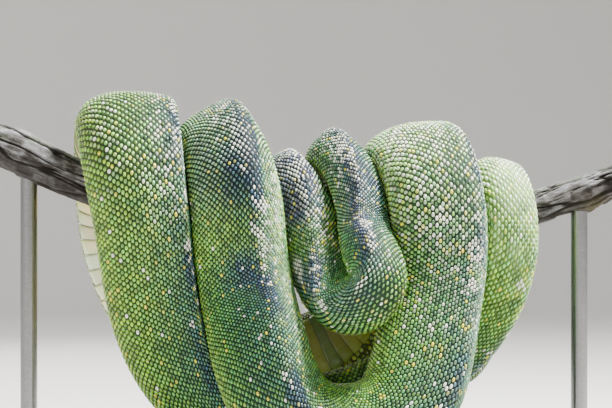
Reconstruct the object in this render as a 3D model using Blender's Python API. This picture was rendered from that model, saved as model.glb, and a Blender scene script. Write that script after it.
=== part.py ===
"""A life-size green tree python coiled over a cut length of branch, on a plain display stand.

The snake is one long body that crosses the branch six times.  Between two crossings it hangs in
a loop, in front of the branch or behind it.  The route of its backbone is laid out from the
crossings and the hanging loops, then settled until the coils lie against each other and against
the branch.  Rings of skin follow the route, and the body is parted into named lengths.

The front of the model looks along -Y, +Z is up and the branch runs along X.
"""

import math

import bmesh
import bpy
import numpy as np
from mathutils import Matrix, Vector

# Driving sizes, in metres.
MM = 0.001
FIT_GAP = 0.3 * MM  # between pieces that meet
COIL_GAP = 0.9 * MM  # between coils that lie together

BASE_SIZE = (0.300, 0.180, 0.012)
BASE_CORNER = 0.010
BASE_BEVEL = 0.0015
ROD_X = 0.1140
ROD_RADIUS = 0.0035
ROD_SOCKET_DEPTH = 0.005
COLLAR_RADIUS = 0.0085
COLLAR_HEIGHT = 0.006

PERCH_MID_HEIGHT = 0.128  # axis of the branch at its lowest stretch
PERCH_HALF_LENGTH = 0.141
PERCH_LEFT_RADIUS, PERCH_RIGHT_RADIUS = 0.0092, 0.0072
# Each end of the branch bends up: where the bend starts, how softly, and the slope it reaches.
PERCH_BENDS = (
    {"side": -1, "start": 0.025, "softness": 0.025, "slope": 0.45},
    {"side": 1, "start": 0.058, "softness": 0.012, "slope": 0.36},
)
PERCH_YAW = 0.06  # the right end lies further back
PERCH_KNOTS = (  # swellings: place along X, angle round the branch, height, spread
    {"x": 0.117, "angle": -2.0, "height": 0.0030, "spread": 0.007},
    {"x": -0.118, "angle": 1.1, "height": 0.0016, "spread": 0.009},
    {"x": -0.098, "angle": -0.6, "height": 0.0012, "spread": 0.010},
)

BODY_RADIUS = 0.0205  # at the thickest, a third of the way along
HEAD_LENGTH = 0.050
EYE_RADIUS = 0.0034

# Thickness along the body, as a share of BODY_RADIUS at a share of its length.
GIRTH = (
    (0.000, 0.45), (0.040, 0.46), (0.075, 0.54), (0.140, 0.61), (0.210, 0.71), (0.280, 0.96),
    (0.400, 1.00), (0.520, 1.03), (0.640, 1.06), (0.720, 0.97), (0.785, 0.80), (0.840, 0.68),
    (0.895, 0.54), (0.950, 0.34), (0.985, 0.17), (1.000, 0.07),
)

# Where the body crosses the branch, head end first: place along X, height of the backbone line
# above the middle of the branch, reach of the arch to each side, how far the front and the back
# of the arch lean along X, and how far the back's ridge is rolled to the right.
CROSSINGS = (
    {"x": -0.003, "height": 0.0260, "reach": 0.024, "front_lean": 0.038, "back_lean": 0.010, "roll": -0.1},
    {"x": -0.015, "height": 0.0205, "reach": 0.025, "front_lean": 0.013, "back_lean": 0.004, "roll": 0.15},
    {"x": -0.0415, "height": 0.0325, "reach": 0.030, "front_lean": 0.023, "back_lean": 0.000, "roll": 0.3},
    {"x": 0.037, "height": 0.0265, "reach": 0.031, "front_lean": 0.009, "back_lean": 0.006, "roll": 0.9},
    {"x": -0.0630, "height": 0.0275, "reach": 0.029, "front_lean": 0.004, "back_lean": -0.003, "roll": 1.2},
    {"x": 0.076, "height": 0.0200, "reach": 0.021, "front_lean": -0.003, "back_lean": 0.004, "roll": 1.8},
)
# The loop that hangs after each crossing: side of the branch, height where it leaves the two
# arches, depth of its lowest point, how far it stands out at its start and its end, its
# skew along X, and how square it hangs (less than 1 is squarer).
HANGS = (
    {"side": -1, "start": -0.004, "depth": -0.0245, "bulge": (0.034, 0.013), "skew": 0.018, "square": 1.0},
    {"side": 1, "start": 0.006, "depth": -0.009, "bulge": (0.006, 0.006), "skew": 0.000, "square": 1.0},
    {"side": -1, "start": -0.030, "depth": -0.080, "bulge": (0.020, 0.020), "skew": 0.002, "square": 0.7},
    {"side": 1, "start": -0.004, "depth": -0.060, "bulge": (0.002, 0.002), "skew": 0.000, "square": 1.0},
    {"side": -1, "start": -0.004, "depth": -0.074, "bulge": (0.000, 0.000), "skew": -0.012, "square": 1.0},
)
# The head rests on the coils behind the branch; its neck comes down from the first crossing.
NECK_DROP = ((0.011, 0.033, 0.006), (0.010, 0.044, -0.005))
HEAD_DIRECTION = (-0.12, 0.50, -0.86)
# The tail hangs behind the last crossing and ends in a curl.
TAIL_DROP = ((0.080, 0.024, -0.004), (0.080, 0.028, -0.022), (0.077, 0.033, -0.040))
TAIL_CURL = {"centre": (0.057, 0.040, -0.049), "radius": 0.019, "turns": 0.85, "shrink": 0.55, "drift": 0.008}

SPACING = 0.005  # between points of the settled backbone line
SETTLE_ROUNDS = 260
SQUEEZE = 0.93  # coils press on each other down to this share of their two radii
FOLD_LIMIT = 0.82  # in a tight bend the inner side reaches this share of the way to its centre
PERCH_CLEAR = 2.5 * MM  # the belly spans the small hollows of the bark
RINGS_PER_METRE = 118
SIDES = 16

HEAD_CUT = 0.054
VENT = 0.905  # share of the length where the tail begins
TRUNK_LENGTHS = 13

# Outline of the head along its length, as shares of its length and millimetres.
HEAD_WIDTH = (
    (0.00, 0.0), (0.004, 2.0), (0.014, 3.5), (0.035, 5.0), (0.09, 6.8), (0.18, 7.9), (0.30, 9.2),
    (0.44, 11.4), (0.60, 14.3), (0.76, 16.4), (0.88, 16.2), (1.00, 13.6), (1.12, 10.9), (1.30, 9.6),
    (1.60, 9.4),
)
HEAD_TOP = (
    (0.00, 0.0), (0.004, 1.6), (0.014, 2.8), (0.035, 3.9), (0.09, 5.2), (0.16, 5.8), (0.26, 6.5),
    (0.38, 8.2), (0.52, 9.0), (0.70, 9.8), (0.88, 9.9), (1.05, 9.0), (1.30, 9.0), (1.60, 9.2),
)
HEAD_BOTTOM = (
    (0.00, 0.0), (0.004, 1.3), (0.014, 2.3), (0.035, 3.2), (0.09, 4.5), (0.20, 5.4), (0.40, 6.4),
    (0.65, 7.6), (0.88, 8.2), (1.10, 8.4), (1.60, 9.0),
)
EYE_AT = 0.345  # share of the head's length

COLOURS = {
    "python_skin": ((0.10, 0.26, 0.09, 1.0), 0.45, 0.0),
    "eye": ((0.30, 0.32, 0.22, 1.0), 0.08, 0.0),
    "branch_bark": ((0.23, 0.21, 0.20, 1.0), 0.85, 0.0),
    "stand_board": ((0.035, 0.033, 0.032, 1.0), 0.40, 0.0),
    "stand_metal": ((0.42, 0.42, 0.42, 1.0), 0.35, 1.0),
}


def clear_scene():
    for obj in list(bpy.data.objects):
        bpy.data.objects.remove(obj)


def material(name):
    """The named Principled material, made once."""
    found = bpy.data.materials.get(name)
    if found is None:
        found = bpy.data.materials.new(name)
        found.use_nodes = True
        shader = found.node_tree.nodes["Principled BSDF"]
        colour, roughness, metallic = COLOURS[name]
        shader.inputs["Base Color"].default_value = colour
        shader.inputs["Roughness"].default_value = roughness
        shader.inputs["Metallic"].default_value = metallic
    return found


def profile(stations, at):
    """A smooth curve through (place, value) stations, with no overshoot between them."""
    x = np.array([s[0] for s in stations], float)
    y = np.array([s[1] for s in stations], float)
    step = np.diff(x)
    slope = np.diff(y) / step
    tangent = np.zeros(len(x))
    same_way = slope[:-1] * slope[1:] > 0
    tangent[1:-1][same_way] = 2 / (1 / slope[:-1][same_way] + 1 / slope[1:][same_way])
    tangent[0], tangent[-1] = slope[0], slope[-1]
    at = np.clip(np.asarray(at, float), x[0], x[-1])
    i = np.clip(np.searchsorted(x, at, side="right") - 1, 0, len(x) - 2)
    t = (at - x[i]) / step[i]
    return (
        y[i] * (1 + 2 * t) * (1 - t) ** 2
        + tangent[i] * step[i] * t * (1 - t) ** 2
        + y[i + 1] * t * t * (3 - 2 * t)
        + tangent[i + 1] * step[i] * t * t * (t - 1)
    )


# The branch


def perch_axis(x):
    """The middle of the branch at each x, as points above the floor."""
    x = np.asarray(x, float)
    height = np.full_like(x, PERCH_MID_HEIGHT)
    for bend in PERCH_BENDS:
        past = np.maximum(bend["side"] * x - bend["start"], 0.0)
        height = height + bend["slope"] * (np.hypot(past, bend["softness"]) - bend["softness"])
    return np.stack([x, PERCH_YAW * x, height], axis=-1)


def perch_radius(x):
    share = (np.asarray(x, float) / PERCH_HALF_LENGTH + 1) / 2
    return PERCH_LEFT_RADIUS + (PERCH_RIGHT_RADIUS - PERCH_LEFT_RADIUS) * share


# The backbone line


def guide_route():
    """The route before it settles, from the snout to the tip of the tail, above the floor."""
    points = []
    for index, cross in enumerate(CROSSINGS):
        from_side = 1 if index % 2 == 0 else -1
        for step in range(-3, 4):
            angle = math.radians(30 * step)
            side = -from_side * math.sin(angle)
            lean = cross["front_lean"] if side < 0 else cross["back_lean"]
            points.append(
                (
                    cross["x"] + lean * abs(side),
                    side * cross["reach"],
                    cross["height"] - cross["reach"] * (1 - math.cos(angle)),
                )
            )
        if index < len(HANGS):
            points.extend(hanging_loop(cross, CROSSINGS[index + 1], HANGS[index]))
    neck = [Vector(p) for p in NECK_DROP]
    forward = Vector(HEAD_DIRECTION).normalized()
    head = [neck[-1] + forward * (HEAD_LENGTH * 1.05 * share) for share in (1.0, 0.75, 0.5, 0.25)]
    points = [tuple(p) for p in head] + [tuple(p) for p in reversed(neck)] + points
    points.extend(TAIL_DROP)
    points.extend(tail_curl())
    return np.array(points) + [0, 0, PERCH_MID_HEIGHT]


def hanging_loop(first, second, hang):
    """Half an ellipse below two arches, from the first to the second."""
    lean = "front_lean" if hang["side"] < 0 else "back_lean"
    ends = [
        (c["x"] + c[lean], hang["side"] * c["reach"]) for c in (first, second)
    ]
    steps = 9
    points = []
    for step in range(steps + 1):
        turn = math.pi * step / steps
        level = math.cos(turn)
        across = (1 - math.copysign(abs(level) ** hang["square"], level)) / 2
        down = max(math.sin(turn), 0.0) ** hang["square"]
        bulge = hang["bulge"][0] + (hang["bulge"][1] - hang["bulge"][0]) * across
        points.append(
            (
                ends[0][0] + (ends[1][0] - ends[0][0]) * across + hang["skew"] * down,
                ends[0][1] + (ends[1][1] - ends[0][1]) * across + hang["side"] * bulge * down,
                hang["start"] + (hang["depth"] - hang["start"]) * down,
            )
        )
    return points


def tail_curl():
    """A flat spiral that tightens towards the tip."""
    curl = TAIL_CURL
    steps = 12
    points = []
    for step in range(steps + 1):
        share = step / steps
        angle = math.radians(-5) - 2 * math.pi * curl["turns"] * share
        radius = curl["radius"] * (1 - curl["shrink"] * share)
        points.append(
            (
                curl["centre"][0] + radius * math.cos(angle),
                curl["centre"][1] + curl["drift"] * share,
                curl["centre"][2] + radius * math.sin(angle),
            )
        )
    return points


def resample(points, count):
    """Points at equal distances along the same line."""
    gone = np.concatenate([[0], np.cumsum(np.linalg.norm(np.diff(points, axis=0), axis=1))])
    at = np.linspace(0, gone[-1], count)
    return np.stack([np.interp(at, gone, points[:, k]) for k in range(3)], axis=1)


def line_length(points):
    return float(np.linalg.norm(np.diff(points, axis=0), axis=1).sum())


def girth(share):
    return BODY_RADIUS * profile(GIRTH, share)


def stiffness(radius, amount):
    """A matrix that evens out a row of offsets along the body, more where the body is thick."""
    count = len(radius)
    second = np.zeros((count - 2, count))
    rows = np.arange(count - 2)
    second[rows, rows] = second[rows, rows + 2] = 1
    second[rows, rows + 1] = -2
    weight = amount * np.clip(radius[1:-1] / BODY_RADIUS, 0.05, 1.0) ** 2
    return np.linalg.inv(np.eye(count) + second.T @ (weight[:, None] * second))


def settle():
    """The backbone line once the coils rest on each other and on the branch."""
    guide = guide_route()
    count = int(line_length(guide) / SPACING) + 1
    guide = resample(guide, count)
    radius = girth(np.linspace(0, 1, count))
    guide = resample(stiffness(radius, 9.0) @ guide, count)
    evened = stiffness(radius, 2.5)
    line = guide.copy()
    index = np.arange(count)
    apart = np.abs(index[:, None] - index[None, :]) * SPACING
    reach = radius[:, None] + radius[None, :]
    first, second = np.nonzero(np.triu(apart > 1.35 * reach))
    least = SQUEEZE * reach[first, second]
    perch = perch_axis(np.linspace(-PERCH_HALF_LENGTH, PERCH_HALF_LENGTH, 95))
    for _ in range(SETTLE_ROUNDS):
        between = line[second] - line[first]
        distance = np.linalg.norm(between, axis=1)
        hit = distance < least
        way = between[hit] / np.maximum(distance[hit], 1e-6)[:, None]
        shift = way * (0.5 * (least[hit] - distance[hit]))[:, None]
        push = np.zeros_like(line)
        touched = np.zeros(count)
        for ends, sign in ((first[hit], -1), (second[hit], 1)):
            np.add.at(push, ends, sign * shift)
            np.add.at(touched, ends, 1)
        line += push / np.maximum(touched, 1)[:, None]
        from_perch = line[:, None, :] - perch[None, :, :]
        away = np.linalg.norm(from_perch, axis=2)
        nearest = away.argmin(axis=1)
        space = away[index, nearest]
        deep = np.maximum(perch_radius(perch[nearest, 0]) + 0.78 * radius - space, 0)
        line += from_perch[index, nearest] * (deep / space)[:, None]
        line = guide + 0.99 * evened @ (line - guide)
    return straighten_head(resample(line, count))


def straighten_head(line):
    """The skull can't bend: the line runs straight from the neck to the snout."""
    step = line_length(line) / (len(line) - 1)
    joint = int(round(1.08 * HEAD_LENGTH / step))
    way = line[joint] - line[joint + 3]
    way /= np.linalg.norm(way)
    for i in range(joint):
        line[i] = line[joint] + way * step * (joint - i)
    return line


def crossings_of(line):
    """Index of the highest point of each arch over the branch."""
    above = line[:, 2] - perch_axis(line[:, 0])[:, 2]
    side = line[:, 1] > PERCH_YAW * line[:, 0]
    return [i for i in np.nonzero(side[1:] != side[:-1])[0] if above[i] > 0][: len(CROSSINGS)]


def frames(line):
    """Unit vectors along the body towards the tail, out through the back, and to its left."""
    along = np.gradient(line, axis=0)
    along /= np.linalg.norm(along, axis=1)[:, None]
    axis = perch_axis(line[:, 0])
    out = line - axis
    out[:, 0] = 0
    out[:, 2] = np.where(out[:, 2] > 0, out[:, 2], 0.10 * out[:, 2])
    out /= np.linalg.norm(out, axis=1)[:, None]
    rolls = [0.0] + [cross["roll"] for cross in CROSSINGS]
    out[:, 0] = np.interp(np.arange(len(line)), [2.4 * HEAD_LENGTH / SPACING] + crossings_of(line), rolls)
    for _ in range(8):
        out -= (out * along).sum(axis=1)[:, None] * along
        out /= np.linalg.norm(out, axis=1)[:, None]
        out[1:-1] = out[:-2] + 2 * out[1:-1] + out[2:]
    out -= (out * along).sum(axis=1)[:, None] * along
    out /= np.linalg.norm(out, axis=1)[:, None]
    left = np.cross(out, along)
    return along, out, left


class Body:
    """The settled body, with a ring of skin at any distance from the snout."""

    def __init__(self):
        self.line = settle()
        self.along, self.out, self.left = frames(self.line)
        self.length = line_length(self.line)
        self.at = np.linspace(0, self.length, len(self.line))
        self.radius = girth(self.at / self.length)
        self.bend = np.gradient(self.along, self.at, axis=0)
        self.bend[1:-1] = (self.bend[:-2] + 2 * self.bend[1:-1] + self.bend[2:]) / 4
        self.perch = perch_axis(np.linspace(-PERCH_HALF_LENGTH, PERCH_HALF_LENGTH, 190))

    def frame(self, distance):
        """Centre, along, out and left at a distance from the snout."""
        parts = []
        for field in (self.line, self.along, self.out, self.left):
            parts.append(np.array([np.interp(distance, self.at, field[:, k]) for k in range(3)]))
        for k in (1, 2, 3):
            parts[k] = parts[k] / np.linalg.norm(parts[k])
        return parts

    def section(self, distance, angles):
        """(out, left) offsets of the skin round the body, from the back's ridge at angle 0."""
        share = distance / HEAD_LENGTH
        radius = float(girth(distance / self.length))
        body_out = radius * (
            0.99 * np.cos(angles)
            + 0.16 * np.exp(-((angle_from(angles, 0.0) / 0.40) ** 2))
            + 0.10 * np.clip(-np.cos(angles) - 0.55, 0, 1)
        )
        body_left = radius * 0.98 * np.sin(angles) * (1 - 0.20 * np.cos(angles))
        if share > 1.55:
            return body_out, body_left
        power = 2 / 2.35
        cos, sin = np.cos(angles), np.sin(angles)
        tall = np.where(cos > 0, profile(HEAD_TOP, share), profile(HEAD_BOTTOM, share)) * MM
        head_out = np.sign(cos) * np.abs(cos) ** power * tall
        head_left = np.sign(sin) * np.abs(sin) ** power * float(profile(HEAD_WIDTH, share)) * MM
        mix = min(max((share - 1.0) / 0.55, 0.0), 1.0)
        mix = mix * mix * (3 - 2 * mix)
        return head_out * (1 - mix) + body_out * mix, head_left * (1 - mix) + body_left * mix

    def ring(self, distance, sides, gap):
        """Points of skin round the body, flattened where it lies against a coil or the branch."""
        centre, along, out, left = self.frame(distance)
        angles = np.linspace(0, 2 * math.pi, sides, endpoint=False)
        outs, lefts = self.section(distance, angles)
        offset = outs[:, None] * out + lefts[:, None] * left
        if distance > HEAD_LENGTH:
            bend = np.array([np.interp(distance, self.at, self.bend[:, k]) for k in range(3)])
            folded = np.maximum(offset @ bend - FOLD_LIMIT, 0)
            offset -= folded[:, None] * bend / max(bend @ bend, 1.0)
            offset = self.press(offset, centre, along, distance, gap)
        return centre + offset

    def press(self, offset, centre, along, distance, gap):
        """Each point is held on its own side of the plane between this coil and the next one,
        and clear of the branch.  It moves across the body only, so a ring stays flat."""
        own = float(girth(distance / self.length))
        apart = self.line - centre
        far = np.linalg.norm(apart, axis=1)
        others = (np.abs(self.at - distance) > 1.35 * (own + self.radius)) & (
            far < 1.25 * (own + self.radius)
        )
        for way, space, radius in zip(apart[others], far[others], self.radius[others]):
            plane = (space * space + own * own - radius * radius) / (2 * space) - gap / 2
            normal = way / space
            across = normal - (normal @ along) * along
            past = np.maximum(offset @ normal - plane, 0)
            offset = offset - past[:, None] * across / max(across @ across, 0.3)
        for _ in range(2):
            apart = (centre + offset)[:, None, :] - self.perch[None, :, :]
            far = np.linalg.norm(apart, axis=2)
            nearest = far.argmin(axis=1)
            rows = np.arange(len(offset))
            deep = perch_radius(self.perch[nearest, 0]) + gap + PERCH_CLEAR - far[rows, nearest]
            way = apart[rows, nearest] / np.maximum(far[rows, nearest], 1e-6)[:, None]
            way -= (way @ along)[:, None] * along
            reach = np.maximum((way * way).sum(axis=1), 0.3)
            offset = offset + way * (np.maximum(deep, 0) / reach)[:, None]
        return offset


def angle_from(angles, middle):
    """Signed difference between angles, from -pi to pi."""
    return (angles - middle + math.pi) % (2 * math.pi) - math.pi


# Objects


def add_object(name, mesh, slot):
    obj = bpy.data.objects.new(name, mesh)
    bpy.context.scene.collection.objects.link(obj)
    mesh.materials.append(material(slot))
    return obj


def ring_solid(name, rings, slot, tip=None):
    """A closed mesh through rings of equal size, with a cap at each end or a tip at the first."""
    sides = len(rings[0])
    bm = bmesh.new()
    rows = [[bm.verts.new(p) for p in ring] for ring in rings]
    for row, following in zip(rows, rows[1:]):
        for k in range(sides):
            m = (k + 1) % sides
            bm.faces.new((row[k], row[m], following[m], following[k]))
    close_ring(bm, rows[0], tip)
    close_ring(bm, rows[-1], None)
    bmesh.ops.triangulate(bm, faces=bm.faces)
    bmesh.ops.recalc_face_normals(bm, faces=bm.faces)
    mesh = bpy.data.meshes.new(name)
    bm.to_mesh(mesh)
    bm.free()
    mesh.shade_smooth()
    mesh.set_sharp_from_angle(angle=math.radians(50))
    return add_object(name, mesh, slot)


def close_ring(bm, row, tip):
    """A fan from the ring's middle, or from a tip."""
    middle = sum((v.co for v in row), Vector()) / len(row) if tip is None else Vector(tip)
    point = bm.verts.new(middle)
    for k, vert in enumerate(row):
        bm.faces.new((vert, row[(k + 1) % len(row)], point))


def stations(start, end):
    """Ring distances between two cuts, with half the gap left at each."""
    count = max(4, int(round((end - start) * RINGS_PER_METRE)) + 1)
    return np.linspace(start + FIT_GAP / 2, end - FIT_GAP / 2, count)


def build_head(body):
    """The skull, jaws and the start of the neck, with an open socket on each side for the eye."""
    shares = (0.004, 0.014, 0.035, 0.09, 0.16, 0.25, 0.34, 0.44, 0.54, 0.64, 0.74, 0.84, 0.93, 1.01)
    distances = [share * HEAD_LENGTH for share in shares] + [HEAD_CUT - FIT_GAP / 2]
    rings = [body.ring(d, 24, COIL_GAP) for d in distances]
    head = ring_solid("head", rings, "python_skin", tip=body.frame(0.0)[0])
    for side, name in ((1, "left"), (-1, "right")):
        place = eye_place(body, side)
        socket = add_ball(f"socket_{name}", place, EYE_RADIUS + FIT_GAP, "python_skin", 16, 10)
        socket.hide_render = True
        socket.display_type = "WIRE"
        cut = head.modifiers.new(f"socket_{name}", "BOOLEAN")
        cut.object = socket
        cut.operation = "DIFFERENCE"
        add_ball(f"eye_{name}", place, EYE_RADIUS, "eye", 16, 10)
    return head


def eye_place(body, side):
    """The middle of an eyeball: high on the side of the head, most of it inside."""
    centre, _, out, left = body.frame(EYE_AT * HEAD_LENGTH)
    wide = float(profile(HEAD_WIDTH, EYE_AT)) * MM
    tall = float(profile(HEAD_TOP, EYE_AT)) * MM
    return centre + side * left * (wide - 0.52 * EYE_RADIUS) + out * (0.42 * tall)


def add_ball(name, place, radius, slot, segments, rows):
    bm = bmesh.new()
    bmesh.ops.create_uvsphere(bm, u_segments=segments, v_segments=rows, radius=radius)
    mesh = bpy.data.meshes.new(name)
    bm.to_mesh(mesh)
    bm.free()
    mesh.shade_smooth()
    obj = add_object(name, mesh, slot)
    obj.location = place
    return obj


def build_lengths(body):
    """The neck, the trunk in lengths, and the tail in two."""
    vent = VENT * body.length
    neck_end = 0.125
    cuts = list(np.linspace(neck_end, vent, TRUNK_LENGTHS + 1))
    tail_middle = vent + 0.45 * (body.length - vent)
    parts = [("neck", HEAD_CUT, neck_end)]
    for number, (start, end) in enumerate(zip(cuts, cuts[1:]), 1):
        parts.append((f"trunk_{number:02d}", start, end))
    parts.append(("tail_root", vent, tail_middle))
    parts.append(("tail_tip", tail_middle, body.length))
    for name, start, end in parts:
        rings = [body.ring(d, SIDES, COIL_GAP) for d in stations(start, end)]
        ring_solid(name, rings, "python_skin")


def build_perch():
    """The cut branch: a bent, tapered limb with knots, sawn square and drilled for the rods."""
    count, sides = 30, 14
    rings = []
    for x in np.linspace(-PERCH_HALF_LENGTH, PERCH_HALF_LENGTH, count):
        before, after = perch_axis(x - 1 * MM), perch_axis(x + 1 * MM)
        along = Vector(after - before).normalized()
        side = Vector((0, 0, 1)).cross(along).normalized()
        up = along.cross(side)
        ring = []
        for k in range(sides):
            angle = 2 * math.pi * k / sides
            radius = float(perch_radius(x)) * (1 + 0.03 * math.sin(3 * angle + 40 * x))
            for knot in PERCH_KNOTS:
                round_by = float(angle_from(angle, knot["angle"])) * radius
                near = ((x - knot["x"]) ** 2 + round_by**2) / knot["spread"] ** 2
                radius += knot["height"] * math.exp(-near)
            ring.append(Vector(perch_axis(x)) + radius * (math.cos(angle) * side + math.sin(angle) * up))
        rings.append(ring)
    perch = ring_solid("perch_branch", rings, "branch_bark")
    for side in (-1, 1):
        top = rod_top(side)
        drill = add_rod(f"drill_{side}", side * ROD_X, ROD_RADIUS + FIT_GAP, 0.0, top + FIT_GAP, "stand_metal")
        drill.hide_render = True
        drill.display_type = "WIRE"
        cut = perch.modifiers.new(f"drill_{side}", "BOOLEAN")
        cut.object = drill
        cut.operation = "DIFFERENCE"


def rod_top(side):
    """The height of a rod's end, inside the branch."""
    return float(perch_axis(side * ROD_X)[2]) - float(perch_radius(side * ROD_X)) + ROD_SOCKET_DEPTH


def add_rod(name, x, radius, bottom, top, slot):
    """A round upright in line with the branch."""
    bm = bmesh.new()
    bmesh.ops.create_cone(
        bm, cap_ends=True, segments=24, radius1=radius, radius2=radius, depth=top - bottom
    )
    bmesh.ops.translate(bm, verts=bm.verts, vec=(0, 0, (bottom + top) / 2))
    mesh = bpy.data.meshes.new(name)
    bm.to_mesh(mesh)
    bm.free()
    obj = add_object(name, mesh, slot)
    obj.location = (x, PERCH_YAW * x, 0)
    return obj


def build_stand():
    """A flat board with rounded corners, and two rods in collars that carry the branch."""
    bm = bmesh.new()
    bmesh.ops.create_cube(bm, size=1.0)
    bmesh.ops.scale(bm, vec=BASE_SIZE, verts=bm.verts)
    bmesh.ops.translate(bm, verts=bm.verts, vec=(0, 0, BASE_SIZE[2] / 2))
    upright = [e for e in bm.edges if abs(e.verts[0].co.z - e.verts[1].co.z) > BASE_SIZE[2] / 2]
    bmesh.ops.bevel(bm, geom=upright, offset=BASE_CORNER, segments=5, affect="EDGES", profile=0.5)
    rim = [e for e in bm.edges if all(v.co.z > BASE_SIZE[2] - 1e-6 for v in e.verts)]
    bmesh.ops.bevel(bm, geom=rim, offset=BASE_BEVEL, segments=2, affect="EDGES", profile=0.5)
    mesh = bpy.data.meshes.new("stand_base")
    bm.to_mesh(mesh)
    bm.free()
    add_object("stand_base", mesh, "stand_board")
    for side, name in ((-1, "left"), (1, "right")):
        bottom = BASE_SIZE[2] + FIT_GAP
        rod = add_rod(f"stand_rod_{name}", side * ROD_X, ROD_RADIUS, bottom, rod_top(side), "stand_metal")
        collar = add_rod(
            f"collar_{name}", side * ROD_X, COLLAR_RADIUS, bottom, bottom + COLLAR_HEIGHT, "stand_metal"
        )
        collar.hide_render = True
        collar.display_type = "WIRE"
        join = rod.modifiers.new("collar", "BOOLEAN")
        join.object = collar
        join.operation = "UNION"


def main():
    clear_scene()
    body = Body()
    build_head(body)
    build_lengths(body)
    build_perch()
    build_stand()
    bpy.context.view_layer.update()
    print(f"body length {body.length:.3f} m")


main()
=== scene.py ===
import math

import bmesh
import bpy
import numpy as np
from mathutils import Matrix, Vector


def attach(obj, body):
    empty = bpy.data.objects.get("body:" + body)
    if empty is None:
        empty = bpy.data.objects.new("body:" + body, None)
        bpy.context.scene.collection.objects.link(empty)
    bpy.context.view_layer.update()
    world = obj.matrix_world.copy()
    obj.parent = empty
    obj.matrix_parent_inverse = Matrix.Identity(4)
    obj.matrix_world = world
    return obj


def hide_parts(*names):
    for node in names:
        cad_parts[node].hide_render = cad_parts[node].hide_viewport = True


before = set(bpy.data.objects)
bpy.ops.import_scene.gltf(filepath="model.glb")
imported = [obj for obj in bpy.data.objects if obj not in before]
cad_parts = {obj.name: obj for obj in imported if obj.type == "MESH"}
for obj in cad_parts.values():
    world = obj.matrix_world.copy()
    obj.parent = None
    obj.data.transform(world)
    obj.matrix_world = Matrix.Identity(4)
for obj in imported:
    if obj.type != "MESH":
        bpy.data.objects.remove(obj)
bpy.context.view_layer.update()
mm = 0.001
print("frame loaded:", len(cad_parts), "nodes")

view = {
    "lens": 132.0,
    "sensor": 36.0,
    "distance": 0.90,
    "target": (0.0, -0.030, 0.1396),
}


def addObject(name, data, place=None, aim=None):
    thing = bpy.data.objects.new(name, data)
    bpy.context.scene.collection.objects.link(thing)
    if aim:
        thing.location = place
        thing.rotation_mode = "QUATERNION"
        thing.rotation_quaternion = (Vector(aim) - Vector(place)).to_track_quat("-Z", "Y")
    return thing


def makeCamera():
    data = bpy.data.cameras.new("camera")
    data.sensor_width, data.lens = view["sensor"], view["lens"]
    data.clip_start, data.clip_end = 0.01, 20
    x, y, z = view["target"]
    bpy.context.scene.camera = addObject("camera", data, (x, y - view["distance"], z), (x, y, z))


makeCamera()


class Value:  # an output of a material's node; sums with it make Math nodes
    def __init__(self, finish, socket):
        self.finish, self.socket = finish, socket

    def __add__(self, other):
        return self.finish.maths("ADD", self, other)

    def __sub__(self, other):
        return self.finish.maths("SUBTRACT", self, other)

    def __rsub__(self, other):
        return self.finish.maths("SUBTRACT", other, self)

    def __mul__(self, other):
        return self.finish.maths("MULTIPLY", self, other)

    def __truediv__(self, other):
        return self.finish.maths("DIVIDE", self, other)

    def __pow__(self, other):
        return self.finish.maths("POWER", self, other)

    def __abs__(self):
        return self.finish.maths("ABSOLUTE", self)

    def clamped(self):  # kept between 0 and 1
        self.socket.node.use_clamp = True
        return self


class Finish:  # a material in the making
    def __init__(self, name, roughness, specular=0.5):
        self.material = bpy.data.materials.new(name)
        self.material.use_nodes = True
        self.tree = self.material.node_tree
        self.shader = self.tree.nodes["Principled BSDF"]
        self.set("Roughness", roughness)
        self.set("Specular IOR Level", specular)

    def fill(self, socket, value):
        if isinstance(value, Value):
            self.tree.links.new(value.socket, socket)
        elif socket.type == "RGBA":
            socket.default_value = (*value, 1.0)
        else:
            socket.default_value = value

    def set(self, name, value):  # on the shader's own socket
        self.fill(self.shader.inputs[name], value)

    def node(self, kind, inputs, output=0, **settings):
        node = self.tree.nodes.new("ShaderNode" + kind)
        for name, value in settings.items():
            setattr(node, name, value)
        for socket, value in inputs.items():
            self.fill(node.inputs[socket], value)
        return Value(self, node.outputs[output])

    def maths(self, operation, first, second=0.0):
        return self.node("Math", {0: first, 1: second}, operation=operation)

    def mix(self, factor, first, second, blend="MIX"):
        return self.node("Mix", {0: factor, 6: first, 7: second}, 2, data_type="RGBA", blend_type=blend)

    def ramp(self, factor, stops):
        colour = self.node("ValToRGB", {0: factor})
        elements = colour.socket.node.color_ramp.elements
        while len(elements) < len(stops):
            elements.new(0.5)
        for element, (place, tone) in zip(elements, stops):
            element.position = place
            element.color = (*tone, 1.0)
        return colour

    def noise(self, place, scale, detail=2.0, roughness=0.5, distortion=0.0):
        sizes = {"Scale": scale, "Detail": detail, "Roughness": roughness, "Distortion": distortion}
        return self.node("TexNoise", {"Vector": place, **sizes}, "Fac")

    def stretched(self, place, factors):
        return self.node("VectorMath", {0: place, 1: factors}, operation="MULTIPLY")

    def place(self, name):
        return self.node("Attribute", {}, "Vector", attribute_name=name)

    def number(self, name):
        return self.node("Attribute", {}, "Fac", attribute_name=name)

    def numbers(self, name):
        parts = self.node("SeparateXYZ", {0: self.place(name)})
        return [Value(self, output) for output in parts.socket.node.outputs]

    def bump(self, height, strength, distance):
        self.set("Normal", self.node("Bump", {"Height": height, "Strength": strength, "Distance": distance}))


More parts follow.
